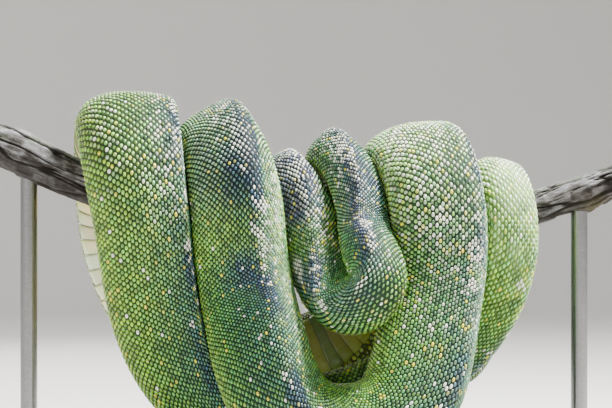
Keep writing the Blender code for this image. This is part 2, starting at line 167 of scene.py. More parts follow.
studio = {
    "floorColour": (0.80, 0.79, 0.77),
    "floorRoughness": 0.9,
    "floorReach": 1.95,
    "bend": 0.75,
    "bendSteps": 12,
    "wallTop": 3.0,
    "sides": 96,
    "airColour": (0.92, 0.96, 1.0, 1.0),
    "ambient": 0.40,
    # name, place, aim, size, watts, colour
    "lamps": (
        ("keyAbove", (0.46, 0.06, 0.95), (0.02, 0.0, 0.14), (0.20, 0.18), 68.0, (1.0, 0.985, 0.95)),
        ("fillFront", (-0.75, -0.95, 0.70), (0.0, 0.0, 0.12), (0.80, 0.80), 6.0, (0.96, 0.98, 1.0)),
        ("fillBack", (-0.45, 1.05, 0.65), (0.0, 0.0, 0.12), (0.70, 0.70), 9.0, (1.0, 0.99, 0.97)),
    ),
}


def makeStudio():  # a round floor that bends up into a pale wall on every side
    reach, bend, steps = studio["floorReach"], studio["bend"], studio["bendSteps"]
    turns = [math.pi / 2 * step / steps for step in range(1, steps + 1)]
    profile = [(0.0, 0.0), (reach, 0.0)]
    profile += [(reach + bend * math.sin(turn), bend * (1 - math.cos(turn))) for turn in turns]
    profile.append((reach + bend, studio["wallTop"]))
    bm = bmesh.new()
    line = [bm.verts.new((out, 0, height)) for out, height in profile]
    edges = [bm.edges.new(pair) for pair in zip(line, line[1:])]
    around = {"cent": (0, 0, 0), "axis": (0, 0, 1), "angle": 2 * math.pi, "steps": studio["sides"]}
    bmesh.ops.spin(bm, geom=line + edges, **around)
    bmesh.ops.remove_doubles(bm, verts=bm.verts, dist=1e-5)
    for face in bm.faces:
        outward = face.normal.dot(face.calc_center_median()) > 0
        if face.normal.z < 0 or (face.normal.z < 0.5 and outward):
            face.normal_flip()
    mesh = bpy.data.meshes.new("studioFloor")
    bm.to_mesh(mesh)
    bm.free()
    mesh.shade_smooth()
    paper = Finish("studioPaper", studio["floorRoughness"])
    paper.set("Base Color", studio["floorColour"])
    mesh.materials.append(paper.material)
    floor = addObject("studioFloor", mesh)
    for name, place, aim, size, power, colour in studio["lamps"]:
        light = bpy.data.lights.new(name, "AREA")
        light.shape = "RECTANGLE"
        light.size, light.size_y = size
        light.energy = power
        light.color = colour
        addObject(name, light, place, aim).visible_camera = False
    world = bpy.data.worlds.new("studioAir")
    world.use_nodes = True
    air = world.node_tree.nodes["Background"]
    air.inputs["Color"].default_value = studio["airColour"]
    air.inputs["Strength"].default_value = studio["ambient"]
    bpy.context.scene.world = world


makeStudio()
print("studio ready")

# the branch's axis and the body's route are the ones that the solids follow
perch = {
    "midHeight": 0.128,
    "halfLength": 0.141,
    "leftRadius": 0.0092,
    "rightRadius": 0.0072,
    # side, start of the bend, softness, slope
    "bends": ((-1, 0.025, 0.025, 0.45), (1, 0.058, 0.012, 0.36)),
    "yaw": 0.06,
    # swellings: x, angle, height, spread
    "knots": ((0.117, -2.0, 0.0030, 0.007), (-0.118, 1.1, 0.0016, 0.009), (-0.098, -0.6, 0.0012, 0.010)),
}

route = {
    "thickest": 0.0205,
    "girth": (
        (0.000, 0.45), (0.040, 0.46), (0.075, 0.54), (0.140, 0.61), (0.210, 0.71), (0.280, 0.96),
        (0.400, 1.00), (0.520, 1.03), (0.640, 1.06), (0.720, 0.97), (0.785, 0.80), (0.840, 0.68),
        (0.895, 0.54), (0.950, 0.34), (0.985, 0.17), (1.000, 0.07),
    ),
    # over the branch: x, height, reach, lean in front, lean behind, roll of the spine
    "crossings": (
        (-0.0030, 0.0260, 0.024, 0.038, 0.010, -0.1),
        (-0.0150, 0.0205, 0.025, 0.013, 0.004, 0.15),
        (-0.0415, 0.0325, 0.030, 0.023, 0.000, 0.3),
        (0.0370, 0.0265, 0.031, 0.009, 0.006, 0.9),
        (-0.0630, 0.0275, 0.029, 0.004, -0.003, 1.2),
        (0.0760, 0.0200, 0.021, -0.003, 0.004, 1.8),
    ),
    # hanging loops: side, start, depth, bulge at each end, skew, squareness
    "hangs": (
        (-1, -0.004, -0.0245, 0.034, 0.013, 0.018, 1.0),
        (1, 0.006, -0.0090, 0.006, 0.006, 0.000, 1.0),
        (-1, -0.030, -0.0800, 0.020, 0.020, 0.002, 0.7),
        (1, -0.004, -0.0600, 0.002, 0.002, 0.000, 1.0),
        (-1, -0.004, -0.0740, 0.000, 0.000, -0.012, 1.0),
    ),
    "neckDrop": ((0.011, 0.033, 0.006), (0.010, 0.044, -0.005)),
    "headWay": (-0.12, 0.50, -0.86),
    "headLength": 0.050,
    "tailDrop": ((0.080, 0.024, -0.004), (0.080, 0.028, -0.022), (0.077, 0.033, -0.040)),
    # centre, radius, turns, shrink, drift
    "tailCurl": ((0.057, 0.040, -0.049), 0.019, 0.85, 0.55, 0.008),
    "curlStart": -5,  # degrees
    "spacing": 0.005,
    "rounds": 260,
    "stiff": (9.0, 2.5),  # of the first smoothing, and while the coils settle
    "apart": 1.35,  # lengths closer along the body than this many thicknesses don't press
    "squeeze": 0.93,
    "perchSqueeze": 0.78,
    "ease": 0.99,  # of each round's move that is kept
    "guideHead": 1.05,  # head lengths that the guide gives the head
    "skull": 1.08,  # head lengths that run straight
    "fold": 0.82,
    "underside": 0.10,  # how far the spine looks down under the branch
    "neckRoll": 2.4,  # head lengths before the spine starts to roll
    "rollRounds": 8,
}
headLength = route["headLength"]


def smoothCurve(stations, at):
    x, y = np.array(stations, float).T
    step = np.diff(x)
    slope = np.diff(y) / step
    tangent = np.zeros(len(x))
    same = slope[:-1] * slope[1:] > 0
    tangent[1:-1][same] = 2 / (1 / slope[:-1][same] + 1 / slope[1:][same])
    tangent[0], tangent[-1] = slope[0], slope[-1]
    at = np.clip(np.asarray(at, float), x[0], x[-1])
    i = np.clip(np.searchsorted(x, at, side="right") - 1, 0, len(x) - 2)
    t = (at - x[i]) / step[i]
    return (
        y[i] * (1 + 2 * t) * (1 - t) ** 2
        + tangent[i] * step[i] * t * (1 - t) ** 2
        + y[i + 1] * t * t * (3 - 2 * t)
        + tangent[i + 1] * step[i] * t * t * (t - 1)
    )


def unit(vectors):
    return vectors / np.linalg.norm(vectors, axis=-1)[..., None]


def level(vectors, way):  # the vectors without what they have along the way
    return vectors - (vectors * way).sum(axis=-1)[..., None] * way


def perchAxis(x):
    x = np.asarray(x, float)
    height = np.full_like(x, perch["midHeight"])
    for side, start, softness, slope in perch["bends"]:
        past = np.maximum(side * x - start, 0.0)
        height = height + slope * (np.hypot(past, softness) - softness)
    return np.stack([x, perch["yaw"] * x, height], axis=-1)


def perchRadius(x):
    share = (np.asarray(x, float) / perch["halfLength"] + 1) / 2
    return perch["leftRadius"] + (perch["rightRadius"] - perch["leftRadius"]) * share


def hangingLoop(first, second, hang):
    side, start, depth, bulgeFirst, bulgeSecond, skew, square = hang
    lean = 3 if side < 0 else 4
    (x1, y1), (x2, y2) = [(cross[0] + cross[lean], side * cross[2]) for cross in (first, second)]
    points = []
    for step in range(10):
        turn = math.pi * step / 9
        across = math.cos(turn)
        across = (1 - math.copysign(abs(across) ** square, across)) / 2
        down = max(math.sin(turn), 0.0) ** square
        bulge = bulgeFirst + (bulgeSecond - bulgeFirst) * across
        x = x1 + (x2 - x1) * across + skew * down
        y = y1 + (y2 - y1) * across + side * bulge * down
        points.append((x, y, start + (depth - start) * down))
    return points


def tailCurlPoints():
    (x, y, z), radius, turns, shrink, drift = route["tailCurl"]
    points = []
    for step in range(13):
        share = step / 12
        angle = math.radians(route["curlStart"]) - 2 * math.pi * turns * share
        reach = radius * (1 - shrink * share)
        points.append((x + reach * math.cos(angle), y + drift * share, z + reach * math.sin(angle)))
    return points


def guideRoute():
    points = []
    for index, cross in enumerate(route["crossings"]):
        fromSide = 1 if index % 2 == 0 else -1
        for step in range(-3, 4):
            angle = math.radians(30 * step)
            side = -fromSide * math.sin(angle)
            lean = cross[3] if side < 0 else cross[4]
            down = cross[2] * (1 - math.cos(angle))
            points.append((cross[0] + lean * abs(side), side * cross[2], cross[1] - down))
        if index < len(route["hangs"]):
            points += hangingLoop(cross, route["crossings"][index + 1], route["hangs"][index])
    neck = [Vector(point) for point in route["neckDrop"]]
    forward = Vector(route["headWay"]).normalized()
    length = headLength * route["guideHead"]
    skull = [neck[-1] + forward * (length * share) for share in (1.0, 0.75, 0.5, 0.25)]
    points = [tuple(point) for point in skull + neck[::-1]] + points
    points += list(route["tailDrop"]) + tailCurlPoints()
    return np.array(points) + [0, 0, perch["midHeight"]]


def lengthsAlong(points):
    return np.concatenate([[0], np.cumsum(np.linalg.norm(np.diff(points, axis=0), axis=1))])


def resample(points, count):
    gone = lengthsAlong(points)
    at = np.linspace(0, gone[-1], count)
    return np.stack([np.interp(at, gone, points[:, k]) for k in range(3)], axis=1)


def lineLength(points):
    return float(np.linalg.norm(np.diff(points, axis=0), axis=1).sum())


def girth(share):
    return route["thickest"] * smoothCurve(route["girth"], share)


def stiffness(radius, amount):
    count = len(radius)
    second = np.zeros((count - 2, count))
    rows = np.arange(count - 2)
    second[rows, rows] = second[rows, rows + 2] = 1
    second[rows, rows + 1] = -2
    weight = amount * np.clip(radius[1:-1] / route["thickest"], 0.05, 1.0) ** 2
    return np.linalg.inv(np.eye(count) + second.T @ (weight[:, None] * second))


def settle():  # the coils push off each other and off the branch until they lie together
    guide = guideRoute()
    spacing = route["spacing"]
    count = int(lineLength(guide) / spacing) + 1
    guide = resample(guide, count)
    radius = girth(np.linspace(0, 1, count))
    firstStiff, stiff = route["stiff"]
    guide = resample(stiffness(radius, firstStiff) @ guide, count)
    evened = stiffness(radius, stiff)
    line = guide.copy()
    index = np.arange(count)
    apart = np.abs(index[:, None] - index[None, :]) * spacing
    reach = radius[:, None] + radius[None, :]
    first, second = np.nonzero(np.triu(apart > route["apart"] * reach))
    least = route["squeeze"] * reach[first, second]
    axis = perchAxis(np.linspace(-perch["halfLength"], perch["halfLength"], 95))
    for _ in range(route["rounds"]):
        between = line[second] - line[first]
        distance = np.linalg.norm(between, axis=1)
        hit = distance < least
        way = between[hit] / np.maximum(distance[hit], 1e-6)[:, None]
        shift = way * (0.5 * (least[hit] - distance[hit]))[:, None]
        push = np.zeros_like(line)
        touched = np.zeros(count)
        for ends, sign in ((first[hit], -1), (second[hit], 1)):
            np.add.at(push, ends, sign * shift)
            np.add.at(touched, ends, 1)
        line += push / np.maximum(touched, 1)[:, None]
        fromPerch = line[:, None, :] - axis[None, :, :]
        away = np.linalg.norm(fromPerch, axis=2)
        nearest = away.argmin(axis=1)
        space = away[index, nearest]
        deep = np.maximum(perchRadius(axis[nearest, 0]) + route["perchSqueeze"] * radius - space, 0)
        line += fromPerch[index, nearest] * (deep / space)[:, None]
        line = guide + route["ease"] * evened @ (line - guide)
    line = resample(line, count)
    step = lineLength(line) / (count - 1)
    joint = int(round(route["skull"] * headLength / step))
    way = line[joint] - line[joint + 3]
    way /= np.linalg.norm(way)
    for i in range(joint):
        line[i] = line[joint] + way * step * (joint - i)
    return line


def spineWays(line):  # towards the tail, and out through the back
    along = unit(np.gradient(line, axis=0))
    axis = perchAxis(line[:, 0])
    above = line[:, 2] - axis[:, 2]
    behind = line[:, 1] > perch["yaw"] * line[:, 0]
    tops = [i for i in np.nonzero(behind[1:] != behind[:-1])[0] if above[i] > 0]
    tops = tops[: len(route["crossings"])]
    out = line - axis
    out[:, 0] = 0
    out[:, 2] = np.where(out[:, 2] > 0, out[:, 2], route["underside"] * out[:, 2])
    out = unit(out)
    rolls = [0.0] + [cross[5] for cross in route["crossings"]]
    places = [route["neckRoll"] * headLength / route["spacing"]] + tops
    out[:, 0] = np.interp(np.arange(len(line)), places, rolls)
    for _ in range(route["rollRounds"]):
        out = unit(level(out, along))
        out[1:-1] = out[:-2] + 2 * out[1:-1] + out[2:]
    return along, out


def splineAt(values, place):  # a smooth curve through evenly spaced rows
    last = len(values) - 1
    i = np.clip(np.floor(place).astype(int), 0, last - 1)
    t = (place - i)[:, None]
    a, b = values[np.maximum(i - 1, 0)], values[i]
    c, d = values[i + 1], values[np.minimum(i + 2, last)]
    return 0.5 * (2 * b + (c - a) * t + (2 * a - 5 * b + 4 * c - d) * t**2 + (3 * b - a - 3 * c + d) * t**3)


line = settle()
bodyLength = lineLength(line)
lineAlong, lineOut = spineWays(line)
lineAt = np.linspace(0, bodyLength, len(line))
lineBend = np.gradient(lineAlong, lineAt, axis=0)
lineBend[1:-1] = (lineBend[:-2] + 2 * lineBend[1:-1] + lineBend[2:]) / 4
print(f"body settled: {bodyLength:.3f} m long")

head = {
    # outline: share of the head's length, mm
    "width": (
        (0.00, 0.0), (0.004, 2.0), (0.014, 3.5), (0.035, 5.0), (0.09, 6.8), (0.18, 7.9), (0.30, 9.2),
        (0.44, 11.4), (0.60, 14.3), (0.76, 16.4), (0.88, 16.2), (1.00, 13.6), (1.12, 10.9), (1.30, 9.6),
        (1.60, 9.4),
    ),
    "top": (
        (0.00, 0.0), (0.004, 1.6), (0.014, 2.8), (0.035, 3.9), (0.09, 5.2), (0.16, 5.8), (0.26, 6.5),
        (0.38, 8.2), (0.52, 9.0), (0.70, 9.8), (0.88, 9.9), (1.05, 9.0), (1.30, 9.0), (1.60, 9.2),
    ),
    "bottom": (
        (0.00, 0.0), (0.004, 1.3), (0.014, 2.3), (0.035, 3.2), (0.09, 4.5), (0.20, 5.4), (0.40, 6.4),
        (0.65, 7.6), (0.88, 8.2), (1.10, 8.4), (1.60, 9.0),
    ),
    "square": 2.35,  # 2 would make the head's sections round
    "neck": (1.0, 1.55),  # head lengths between which the head turns into the body
    "eyeAt": 0.345,
    "eyeRadius": 3.4 * mm,
    "eyeSunk": 0.58,
    "eyeHigh": 0.42,
    "eyeOpening": 0.84,
}

skin = {
    "inset": 0.62 * mm,
    "tip": (3 * mm, 20, 0.015, 1.7),  # finer rows at the snout: their length, number, first one, spread
    "headSpacing": 0.55 * mm,
    "spacing": 1.5 * mm,
    "headEnd": 1.2,  # head lengths
    "sides": 64,
    "endShort": 0.2 * mm,
    "softened": (6, 0.25, 0.22),  # rounds, and how much along and round the body
    "softFrom": 1.15,  # head lengths
    # the body's section, as shares of its radius
    "tall": 0.99,
    "wide": 0.98,
    "ridge": (0.16, 0.40),  # the spine's ridge: height, spread as an angle
    "flatBelly": (0.10, 0.55),
    "narrowBack": 0.20,
    "coilGap": 1.3 * mm,
    "perchClear": 2.0 * mm,
    "clearRounds": 2,
    "nearby": 1.25,  # coils closer than this many thicknesses press on each other
    "slant": 0.3,  # keeps a push from running away where surfaces meet at a slant
    "belly": 0.78,  # share of the half girth where the wide belly plates begin
    "crest": (0.180, 24.0),  # over this height the coils lie a little flatter
}


def sectionOffsets(distance, angles):
    share = distance / headLength
    radius = float(girth(distance / bodyLength))
    cos, sin = np.cos(angles), np.sin(angles)
    ridge, spread = skin["ridge"]
    flat, low = skin["flatBelly"]
    raised = ridge * np.exp(-((angles / spread) ** 2)) + flat * np.clip(-cos - low, 0, 1)
    bodyOut = radius * (skin["tall"] * cos + raised)
    bodyLeft = radius * skin["wide"] * sin * (1 - skin["narrowBack"] * cos)
    start, end = head["neck"]
    if share > end:
        return bodyOut, bodyLeft
    power = 2 / head["square"]
    tall = np.where(cos > 0, smoothCurve(head["top"], share), smoothCurve(head["bottom"], share))
    wide = float(smoothCurve(head["width"], share))
    headOut = np.sign(cos) * np.abs(cos) ** power * tall * mm
    headLeft = np.sign(sin) * np.abs(sin) ** power * wide * mm
    mix = min(max((share - start) / (end - start), 0.0), 1.0)
    mix = mix * mix * (3 - 2 * mix)
    return headOut * (1 - mix) + bodyOut * mix, headLeft * (1 - mix) + bodyLeft * mix


def pressRing(offset, centre, way, distance, others):  # flattened where it meets other coils and the branch
    own = float(girth(distance / bodyLength))
    otherLine, otherAt, otherRadius, axis, axisRadius = others
    apart = otherLine - centre
    far = np.linalg.norm(apart, axis=1)
    reach = own + otherRadius
    near = (np.abs(otherAt - distance) > route["apart"] * reach) & (far < skin["nearby"] * reach)
    for towards, space, radius in zip(apart[near], far[near], otherRadius[near]):
        plane = (space * space + own * own - radius * radius) / (2 * space) - skin["coilGap"] / 2
        normal = towards / space
        across = normal - (normal @ way) * way
        past = np.maximum(offset @ normal - plane, 0)
        offset = offset - past[:, None] * across / max(across @ across, skin["slant"])
    for _ in range(skin["clearRounds"]):
        gap = (centre + offset)[:, None, :] - axis[None, :, :]
        far = np.linalg.norm(gap, axis=2)
        nearest = far.argmin(axis=1)
        rows = np.arange(len(offset))
        deep = axisRadius[nearest] + skin["perchClear"] - far[rows, nearest]
        push = gap[rows, nearest] / np.maximum(far[rows, nearest], 1e-6)[:, None]
        push -= (push @ way)[:, None] * way
        reach = np.maximum((push * push).sum(axis=1), skin["slant"])
        offset = offset + push * (np.maximum(deep, 0) / reach)[:, None]
    return offset


def makeSkinGrid():
    headEnd = skin["headEnd"] * headLength
    tip, count, first, spread = skin["tip"]
    tipRows = tip * np.linspace(first, 1, count) ** spread
    headRows = np.arange(tip + skin["headSpacing"], headEnd, skin["headSpacing"])
    bodyCount = int((bodyLength - headEnd) / skin["spacing"])
    bodyRows = np.linspace(headEnd, bodyLength - skin["endShort"], bodyCount)
    at = np.concatenate([tipRows, headRows, bodyRows])
    last = len(line) - 1
    place = at / bodyLength * last
    centre = splineAt(line, place)
    way = unit(splineAt(line, np.minimum(place + 0.02, last)) - splineAt(line, place - 0.02))
    out = unit(level(splineAt(lineOut, place), way))
    left = np.cross(out, way)
    bend = splineAt(lineBend, place)
    fine = np.linspace(0, last, 2 * last + 1)
    axis = perchAxis(np.linspace(-perch["halfLength"], perch["halfLength"], 240))
    coils = splineAt(line, fine), fine / last * bodyLength, girth(fine / last)
    others = (*coils, axis, perchRadius(axis[:, 0]))
    angles = np.linspace(-math.pi, math.pi, 2 * skin["sides"], endpoint=False)
    offsets = np.zeros((len(at), len(angles), 3))
    for row, distance in enumerate(at):
        outs, lefts = sectionOffsets(distance, angles)
        offset = outs[:, None] * out[row] + lefts[:, None] * left[row]
        size = np.linalg.norm(offset, axis=1)
        offset *= np.maximum(1 - skin["inset"] / np.maximum(size, 1e-6), 0.3)[:, None]
        if distance > headLength:
            folded = np.maximum(offset @ bend[row] - route["fold"], 0)
            offset -= folded[:, None] * bend[row] / max(bend[row] @ bend[row], 1.0)
            offset = pressRing(offset, centre[row], way[row], distance, others)
        offsets[row] = offset
    # flesh gives way softly: even out the pressed faces along and around the body
    soft = (at > skin["softFrom"] * headLength)[1:-1, None, None]
    rounds, softAlong, softRound = skin["softened"]
    for _ in range(rounds):
        offsets[1:-1] += soft * softAlong * (offsets[:-2] + offsets[2:] - 2 * offsets[1:-1])
        around = np.roll(offsets, 1, axis=1) + np.roll(offsets, -1, axis=1) - 2 * offsets
        offsets[1:-1] += soft * softRound * around[1:-1]
    rings = centre[:, None, :] + offsets
    top, flatten = skin["crest"]
    rings[:, :, 2] -= flatten * np.maximum(rings[:, :, 2] - top, 0) ** 2
    # columns at even shares of the girth, with the spine in the middle
    sides, half = skin["sides"], skin["sides"] // 2
    grid = np.zeros((len(at), sides + 1, 3))
    halfGirth = np.zeros((len(at), 2))
    closed = np.concatenate([rings, rings[:, :1]], axis=1)
    for row in range(len(at)):
        for side, part in enumerate((closed[row, : sides + 1], closed[row, sides:])):
            gone = lengthsAlong(part)
            halfGirth[row, side] = gone[-1]
            even = np.linspace(0, gone[-1], half + 1)
            for k in range(3):
                grid[row, side * half : (side + 1) * half + 1, k] = np.interp(even, gone, part[:, k])
    return at, grid, halfGirth.mean(axis=1), centre, way, out, left


gridAt, grid, halfGirth, gridCentre, gridWay, gridOut, gridLeft = makeSkinGrid()
print("skin laid out:", grid.shape)

headForm = {
    # share along, degrees from the crown, height mm, spread along mm, spread around mm
    "swellings": (
        (0.10, 52, 0.55, 3.2, 2.6),  # beside the nostril
        (0.20, 34, 0.45, 4.0, 2.0),  # edge of the snout
        (0.33, 38, 0.70, 4.2, 1.8),  # brow
        (0.60, 60, 0.50, 8.0, 5.0),  # temple
        (0.24, 0, -0.50, 6.0, 1.7),  # dip along the middle of the snout
        (0.62, 0, -0.35, 9.0, 2.2),  # dip along the middle of the skull
        (0.25, 74, -0.35, 4.0, 2.0),  # hollow in front of the eye
    ),
    "nostril": (0.068, 47, -1.0, 0.55),  # share along, degrees from the crown, height, spread
    # the mouth's line over the head's axis: share along, mm
    "mouth": ((0.0, -0.5), (0.05, -1.4), (0.2, -2.2), (0.45, -2.6), (0.65, -2.2), (0.80, -1.5)),
    "mouthEnd": 0.74,
    "mouthDeep": 0.55,
    "mouthWide": 0.45,  # mm
    "mouthFade": 0.04,
    "jawIn": 0.35,  # how far the lower lip stands back, mm
    "jawBend": 1.5,  # mm under the mouth within which it does so
    "socketDeep": 0.9,  # mm behind the eye's surface
    "socketRim": (0.55, 0.8),  # height and spread, mm
}


def fromTable(table, at):
    return np.interp(at, *zip(*table))


def headLocal(points):  # out and left of the head's axis, for the grid's rows
    offset = points - gridCentre[:, None, :]
    return (offset * gridOut[:, None, :]).sum(axis=2), (offset * gridLeft[:, None, :]).sum(axis=2)


def mouthHeight(share):  # height of the mouth line over the head's axis
    return fromTable(headForm["mouth"], share) * mm


def eyePlace(side):  # centre, and the ways out, along and up
    share = head["eyeAt"]
    row = np.searchsorted(gridAt, share * headLength)
    wide = float(smoothCurve(head["width"], share)) * mm
    tall = float(smoothCurve(head["top"], share)) * mm
    sideways = side * (wide - head["eyeSunk"] * head["eyeRadius"])
    centre = gridCentre[row] + gridLeft[row] * sideways + gridOut[row] * head["eyeHigh"] * tall
    return centre, gridLeft[row] * side, gridWay[row], gridOut[row]


def fromEye(points, centre, outWay):  # how far out of the eye's centre, and how far across
    apart = points - centre
    outward = apart @ outWay
    return outward, np.linalg.norm(apart - outward[..., None] * outWay, axis=-1)


def gridNormals(points):
    alongWay = np.gradient(points, axis=0)
    aroundWay = np.empty_like(points)
    aroundWay[:, 1:-1] = points[:, 2:] - points[:, :-2]
    aroundWay[:, 0] = aroundWay[:, -1] = points[:, 1] - points[:, -2]
    normal = np.cross(aroundWay, alongWay)
    normal /= np.maximum(np.linalg.norm(normal, axis=2), 1e-9)[:, :, None]
    outward = ((points - gridCentre[:, None, :]) * normal).sum(axis=2)
    return normal * np.where(outward.mean() > 0, 1, -1)


def shapeHead():
    rows = gridAt < skin["headEnd"] * headLength
    normal = gridNormals(grid)
    high, aside = headLocal(grid)
    share = (gridAt / headLength)[:, None] + 0 * high
    angle = np.degrees(np.arctan2(np.abs(aside), high))
    size = np.hypot(high, aside)
    move = np.zeros_like(high)
    for at, around, tall, spreadAlong, spreadAround in headForm["swellings"]:
        along = (share - at) * headLength / mm / spreadAlong
        across = np.radians(angle - around) * size / mm / spreadAround
        move += tall * mm * np.exp(-(along**2) - across**2)
    at, around, tall, spread = headForm["nostril"]
    along = (share - at) * headLength / mm / spread
    across = np.radians(angle - around) * size / mm / spread
    move += tall * mm * np.exp(-((along**2 + across**2) ** 2))
    fade = np.clip((headForm["mouthEnd"] - share) / headForm["mouthFade"], 0, 1)
    fromMouth = (high - mouthHeight(share)) / mm
    move -= headForm["mouthDeep"] * mm * fade * np.exp(-((fromMouth / headForm["mouthWide"]) ** 2))
    below = (fromMouth < 0) * np.clip(-fromMouth / headForm["jawBend"], 0, 1)
    move -= headForm["jawIn"] * mm * fade * below
    grid[rows] += normal[rows] * move[rows][:, :, None]
    radius = head["eyeRadius"]
    opening = head["eyeOpening"] * radius
    rimHigh, rimSpread = headForm["socketRim"]
    for side in (1, -1):  # sockets, each with a raised rim
        centre, outWay, _, _ = eyePlace(side)
        outward, across = fromEye(grid[rows], centre, outWay)
        onSide = outward > -0.9 * radius
        floorAt = np.sqrt(np.maximum(radius**2 - across**2, 0)) - headForm["socketDeep"] * mm
        sink = np.where(onSide & (across < opening), np.maximum(outward - floorAt, 0), 0)
        rim = rimHigh * mm * np.exp(-(((across - 1.12 * opening) / (rimSpread * mm)) ** 2))
        lift = np.where(onSide & (across >= opening), rim, 0)
        grid[rows] += (lift - sink)[:, :, None] * outWay


shapeHead()
normals = gridNormals(grid)
stretch = np.linalg.norm(np.gradient(grid, gridAt, axis=0), axis=2)
headHigh, headAside = headLocal(grid)
print("head shaped")

# the skin and its scales share these markings
marks = {
    # round white spots: seed, how many, spread across mm, least and greatest size mm
    "whiteSpots": ((3, 95, 2.0, 0.9, 2.4), (4, 120, 12.0, 0.7, 1.3)),
    "spotsLie": (0.055, 0.96),  # from m along the body, to a share of its length
    "looseEnd": (0.72, 0.2),  # share round the body where single marks end, and how softly
    "whiteOdds": 0.008,
    "yellowOdds": 0.030,
    "spinePale": 0.42,  # how pale the line of scales along the spine is
    "speckled": 0.22,  # odds added where the speckling is full
    "blueReach": 6.5,  # mm to each side of the spine
    "paleReach": 1.3,
    # uneven edges and clumps: size along and round the body (m), shift, seed
    "ragged": (0.013, 0.007, 20, 5),
    "fine": (0.0045, 0.0035, 11, 6),
    "clumps": (0.010, 0.008, 40, 8),
    # place along the body (m), reach (m), share round the body, reach, what, how much
    "patches": (
        # first and second crossing, and the small loop between them
        (0.121, 0.016, -0.12, 0.22, "speckle", 1.0),
        (0.121, 0.012, -0.10, 0.16, "chalk", 0.5),
        (0.142, 0.022, -0.40, 0.22, "open", 1.0),
        # painted light: this pale patch lightens a flank that lies in shade
        (0.142, 0.022, -0.40, 0.24, "pale", 0.22),
        (0.140, 0.020, -0.30, 0.18, "blue", 0.45),
        # painted glints: white flecks over the same shaded flank
        (0.140, 0.022, -0.36, 0.24, "chalk", 0.14),
        (0.140, 0.026, -0.02, 0.14, "speckle", 0.5),
        (0.150, 0.026, 0.02, 0.05, "chalk", 0.40),
        (0.150, 0.026, -0.04, 0.12, "purple", 1.0),
        (0.148, 0.022, 0.26, 0.17, "blue", 0.8),
        (0.196, 0.020, 0.20, 0.30, "speckle", 0.3),
        (0.196, 0.020, 0.25, 0.30, "lime", 0.5),
        (0.228, 0.011, 0.24, 0.22, "blue", 0.9),
        (0.233, 0.004, 0.28, 0.06, "chalk", 1.6),
        (0.245, 0.014, 0.28, 0.28, "lime", 1.3),
        (0.250, 0.030, -0.12, 0.20, "speckle", 0.7),
        (0.245, 0.030, -0.20, 0.22, "lime", 0.5),
        (0.257, 0.005, 0.22, 0.20, "blue", 0.8),
        (0.268, 0.016, 0.16, 0.26, "purple", 1.5),
        (0.272, 0.012, 0.10, 0.20, "speckle", 0.4),
        (0.270, 0.012, 0.07, 0.12, "chalk", 0.9),
        (0.268, 0.018, 0.15, 0.30, "open", 0.8),
        # third
        (0.416, 0.011, -0.14, 0.14, "speckle", 0.8),
        (0.424, 0.004, -0.09, 0.045, "chalk", 1.6),
        (0.431, 0.004, -0.055, 0.045, "chalk", 1.6),
        (0.463, 0.003, 0.005, 0.03, "chalk", 1.6),
        (0.430, 0.020, -0.32, 0.26, "blue", 0.50),
        (0.426, 0.024, -0.40, 0.28, "pale", 0.52),
        # painted glints: white flecks over this flank
        (0.428, 0.024, -0.42, 0.26, "chalk", 0.14),
        (0.430, 0.018, -0.36, 0.26, "open", 1.1),
        (0.440, 0.008, -0.13, 0.09, "blue", 1.1),
        (0.457, 0.011, -0.34, 0.34, "lime", 1.3),
        (0.470, 0.008, -0.15, 0.12, "blue", 1.1),
        (0.450, 0.050, 0.22, 0.17, "pale", 0.45),
        (0.450, 0.050, 0.20, 0.20, "speckle", 0.5),
        (0.545, 0.040, 0.30, 0.60, "lime", 0.45),
        # fourth
        (0.625, 0.030, 0.35, 0.40, "lime", 0.35),
        (0.672, 0.030, 0.25, 0.42, "speckle", 0.95),
        (0.672, 0.030, 0.58, 0.20, "open", 0.9),
        # partly the scales' own pale colour, partly painted highlight on the top, lit from above
        (0.690, 0.034, 0.25, 0.60, "pale", 0.75),
        (0.693, 0.014, 0.30, 0.42, "chalk", 0.60),
        (0.625, 0.020, 0.20, 0.34, "speckle", 0.35),
        (0.660, 0.003, 0.24, 0.05, "chalk", 1.6),
        (0.648, 0.004, 0.03, 0.04, "chalk", 1.4),
        (0.663, 0.016, -0.05, 0.05, "blue", 0.9),
        (0.640, 0.060, 0.08, 0.12, "blue", -0.6),
        # fifth
        (1.010, 0.024, -0.09, 0.15, "speckle", 1.1),
        (1.012, 0.050, -0.28, 0.25, "pale", 0.36),
        (1.003, 0.020, -0.50, 0.13, "speckle", 0.5),
        (1.015, 0.050, -0.52, 0.28, "lime", 1.5),
        (1.070, 0.050, -0.45, 0.35, "lime", 0.6),
        # sixth
        # partly the scales' own pale colour, partly painted highlight on the top, lit from above
        (1.285, 0.036, 0.30, 0.70, "pale", 0.95),
        (1.298, 0.018, 0.25, 0.55, "chalk", 0.95),
        (1.291, 0.010, 0.58, 0.12, "speckle", 0.9),
        (1.256, 0.028, 0.35, 0.50, "lime", 1.5),
        # eases the painted shade at the scales' rims and in the gaps between them
        (1.275, 0.050, 0.30, 0.60, "soft", 1.1),
        (1.275, 0.060, 0.05, 0.25, "blue", -0.9),
    ),
}
# the white tone is the scales' own white and also painted glints; the pale tone is partly painted highlight
# on lit tops and on a flank in shade; the soft tone eases the painted shade at the scales' rims and between
# them
toneNames = ("pale", "blue", "purple", "lime", "speckle", "chalk", "open", "soft")


# how far round white spots cover each place
def spotCover(at, across, seed, count, spread, least, greatest):
    rng = np.random.default_rng(seed)
    start, end = marks["spotsLie"]
    places = np.sort(rng.uniform(start, bodyLength * end, count))
    asides = rng.normal(0, spread * mm, count)
    sizes = rng.uniform(least, greatest, count) * mm
    found = np.zeros(len(at))
    for place, aside, size in zip(places, asides, sizes):
        near = np.nonzero(np.abs(at - place) < 4 * mm)[0]
        gap = np.hypot(at[near] - place, across[near] - aside) / size
        found[near] = np.maximum(found[near], np.clip(1.8 - 1.3 * gap, 0, 1))
    return found


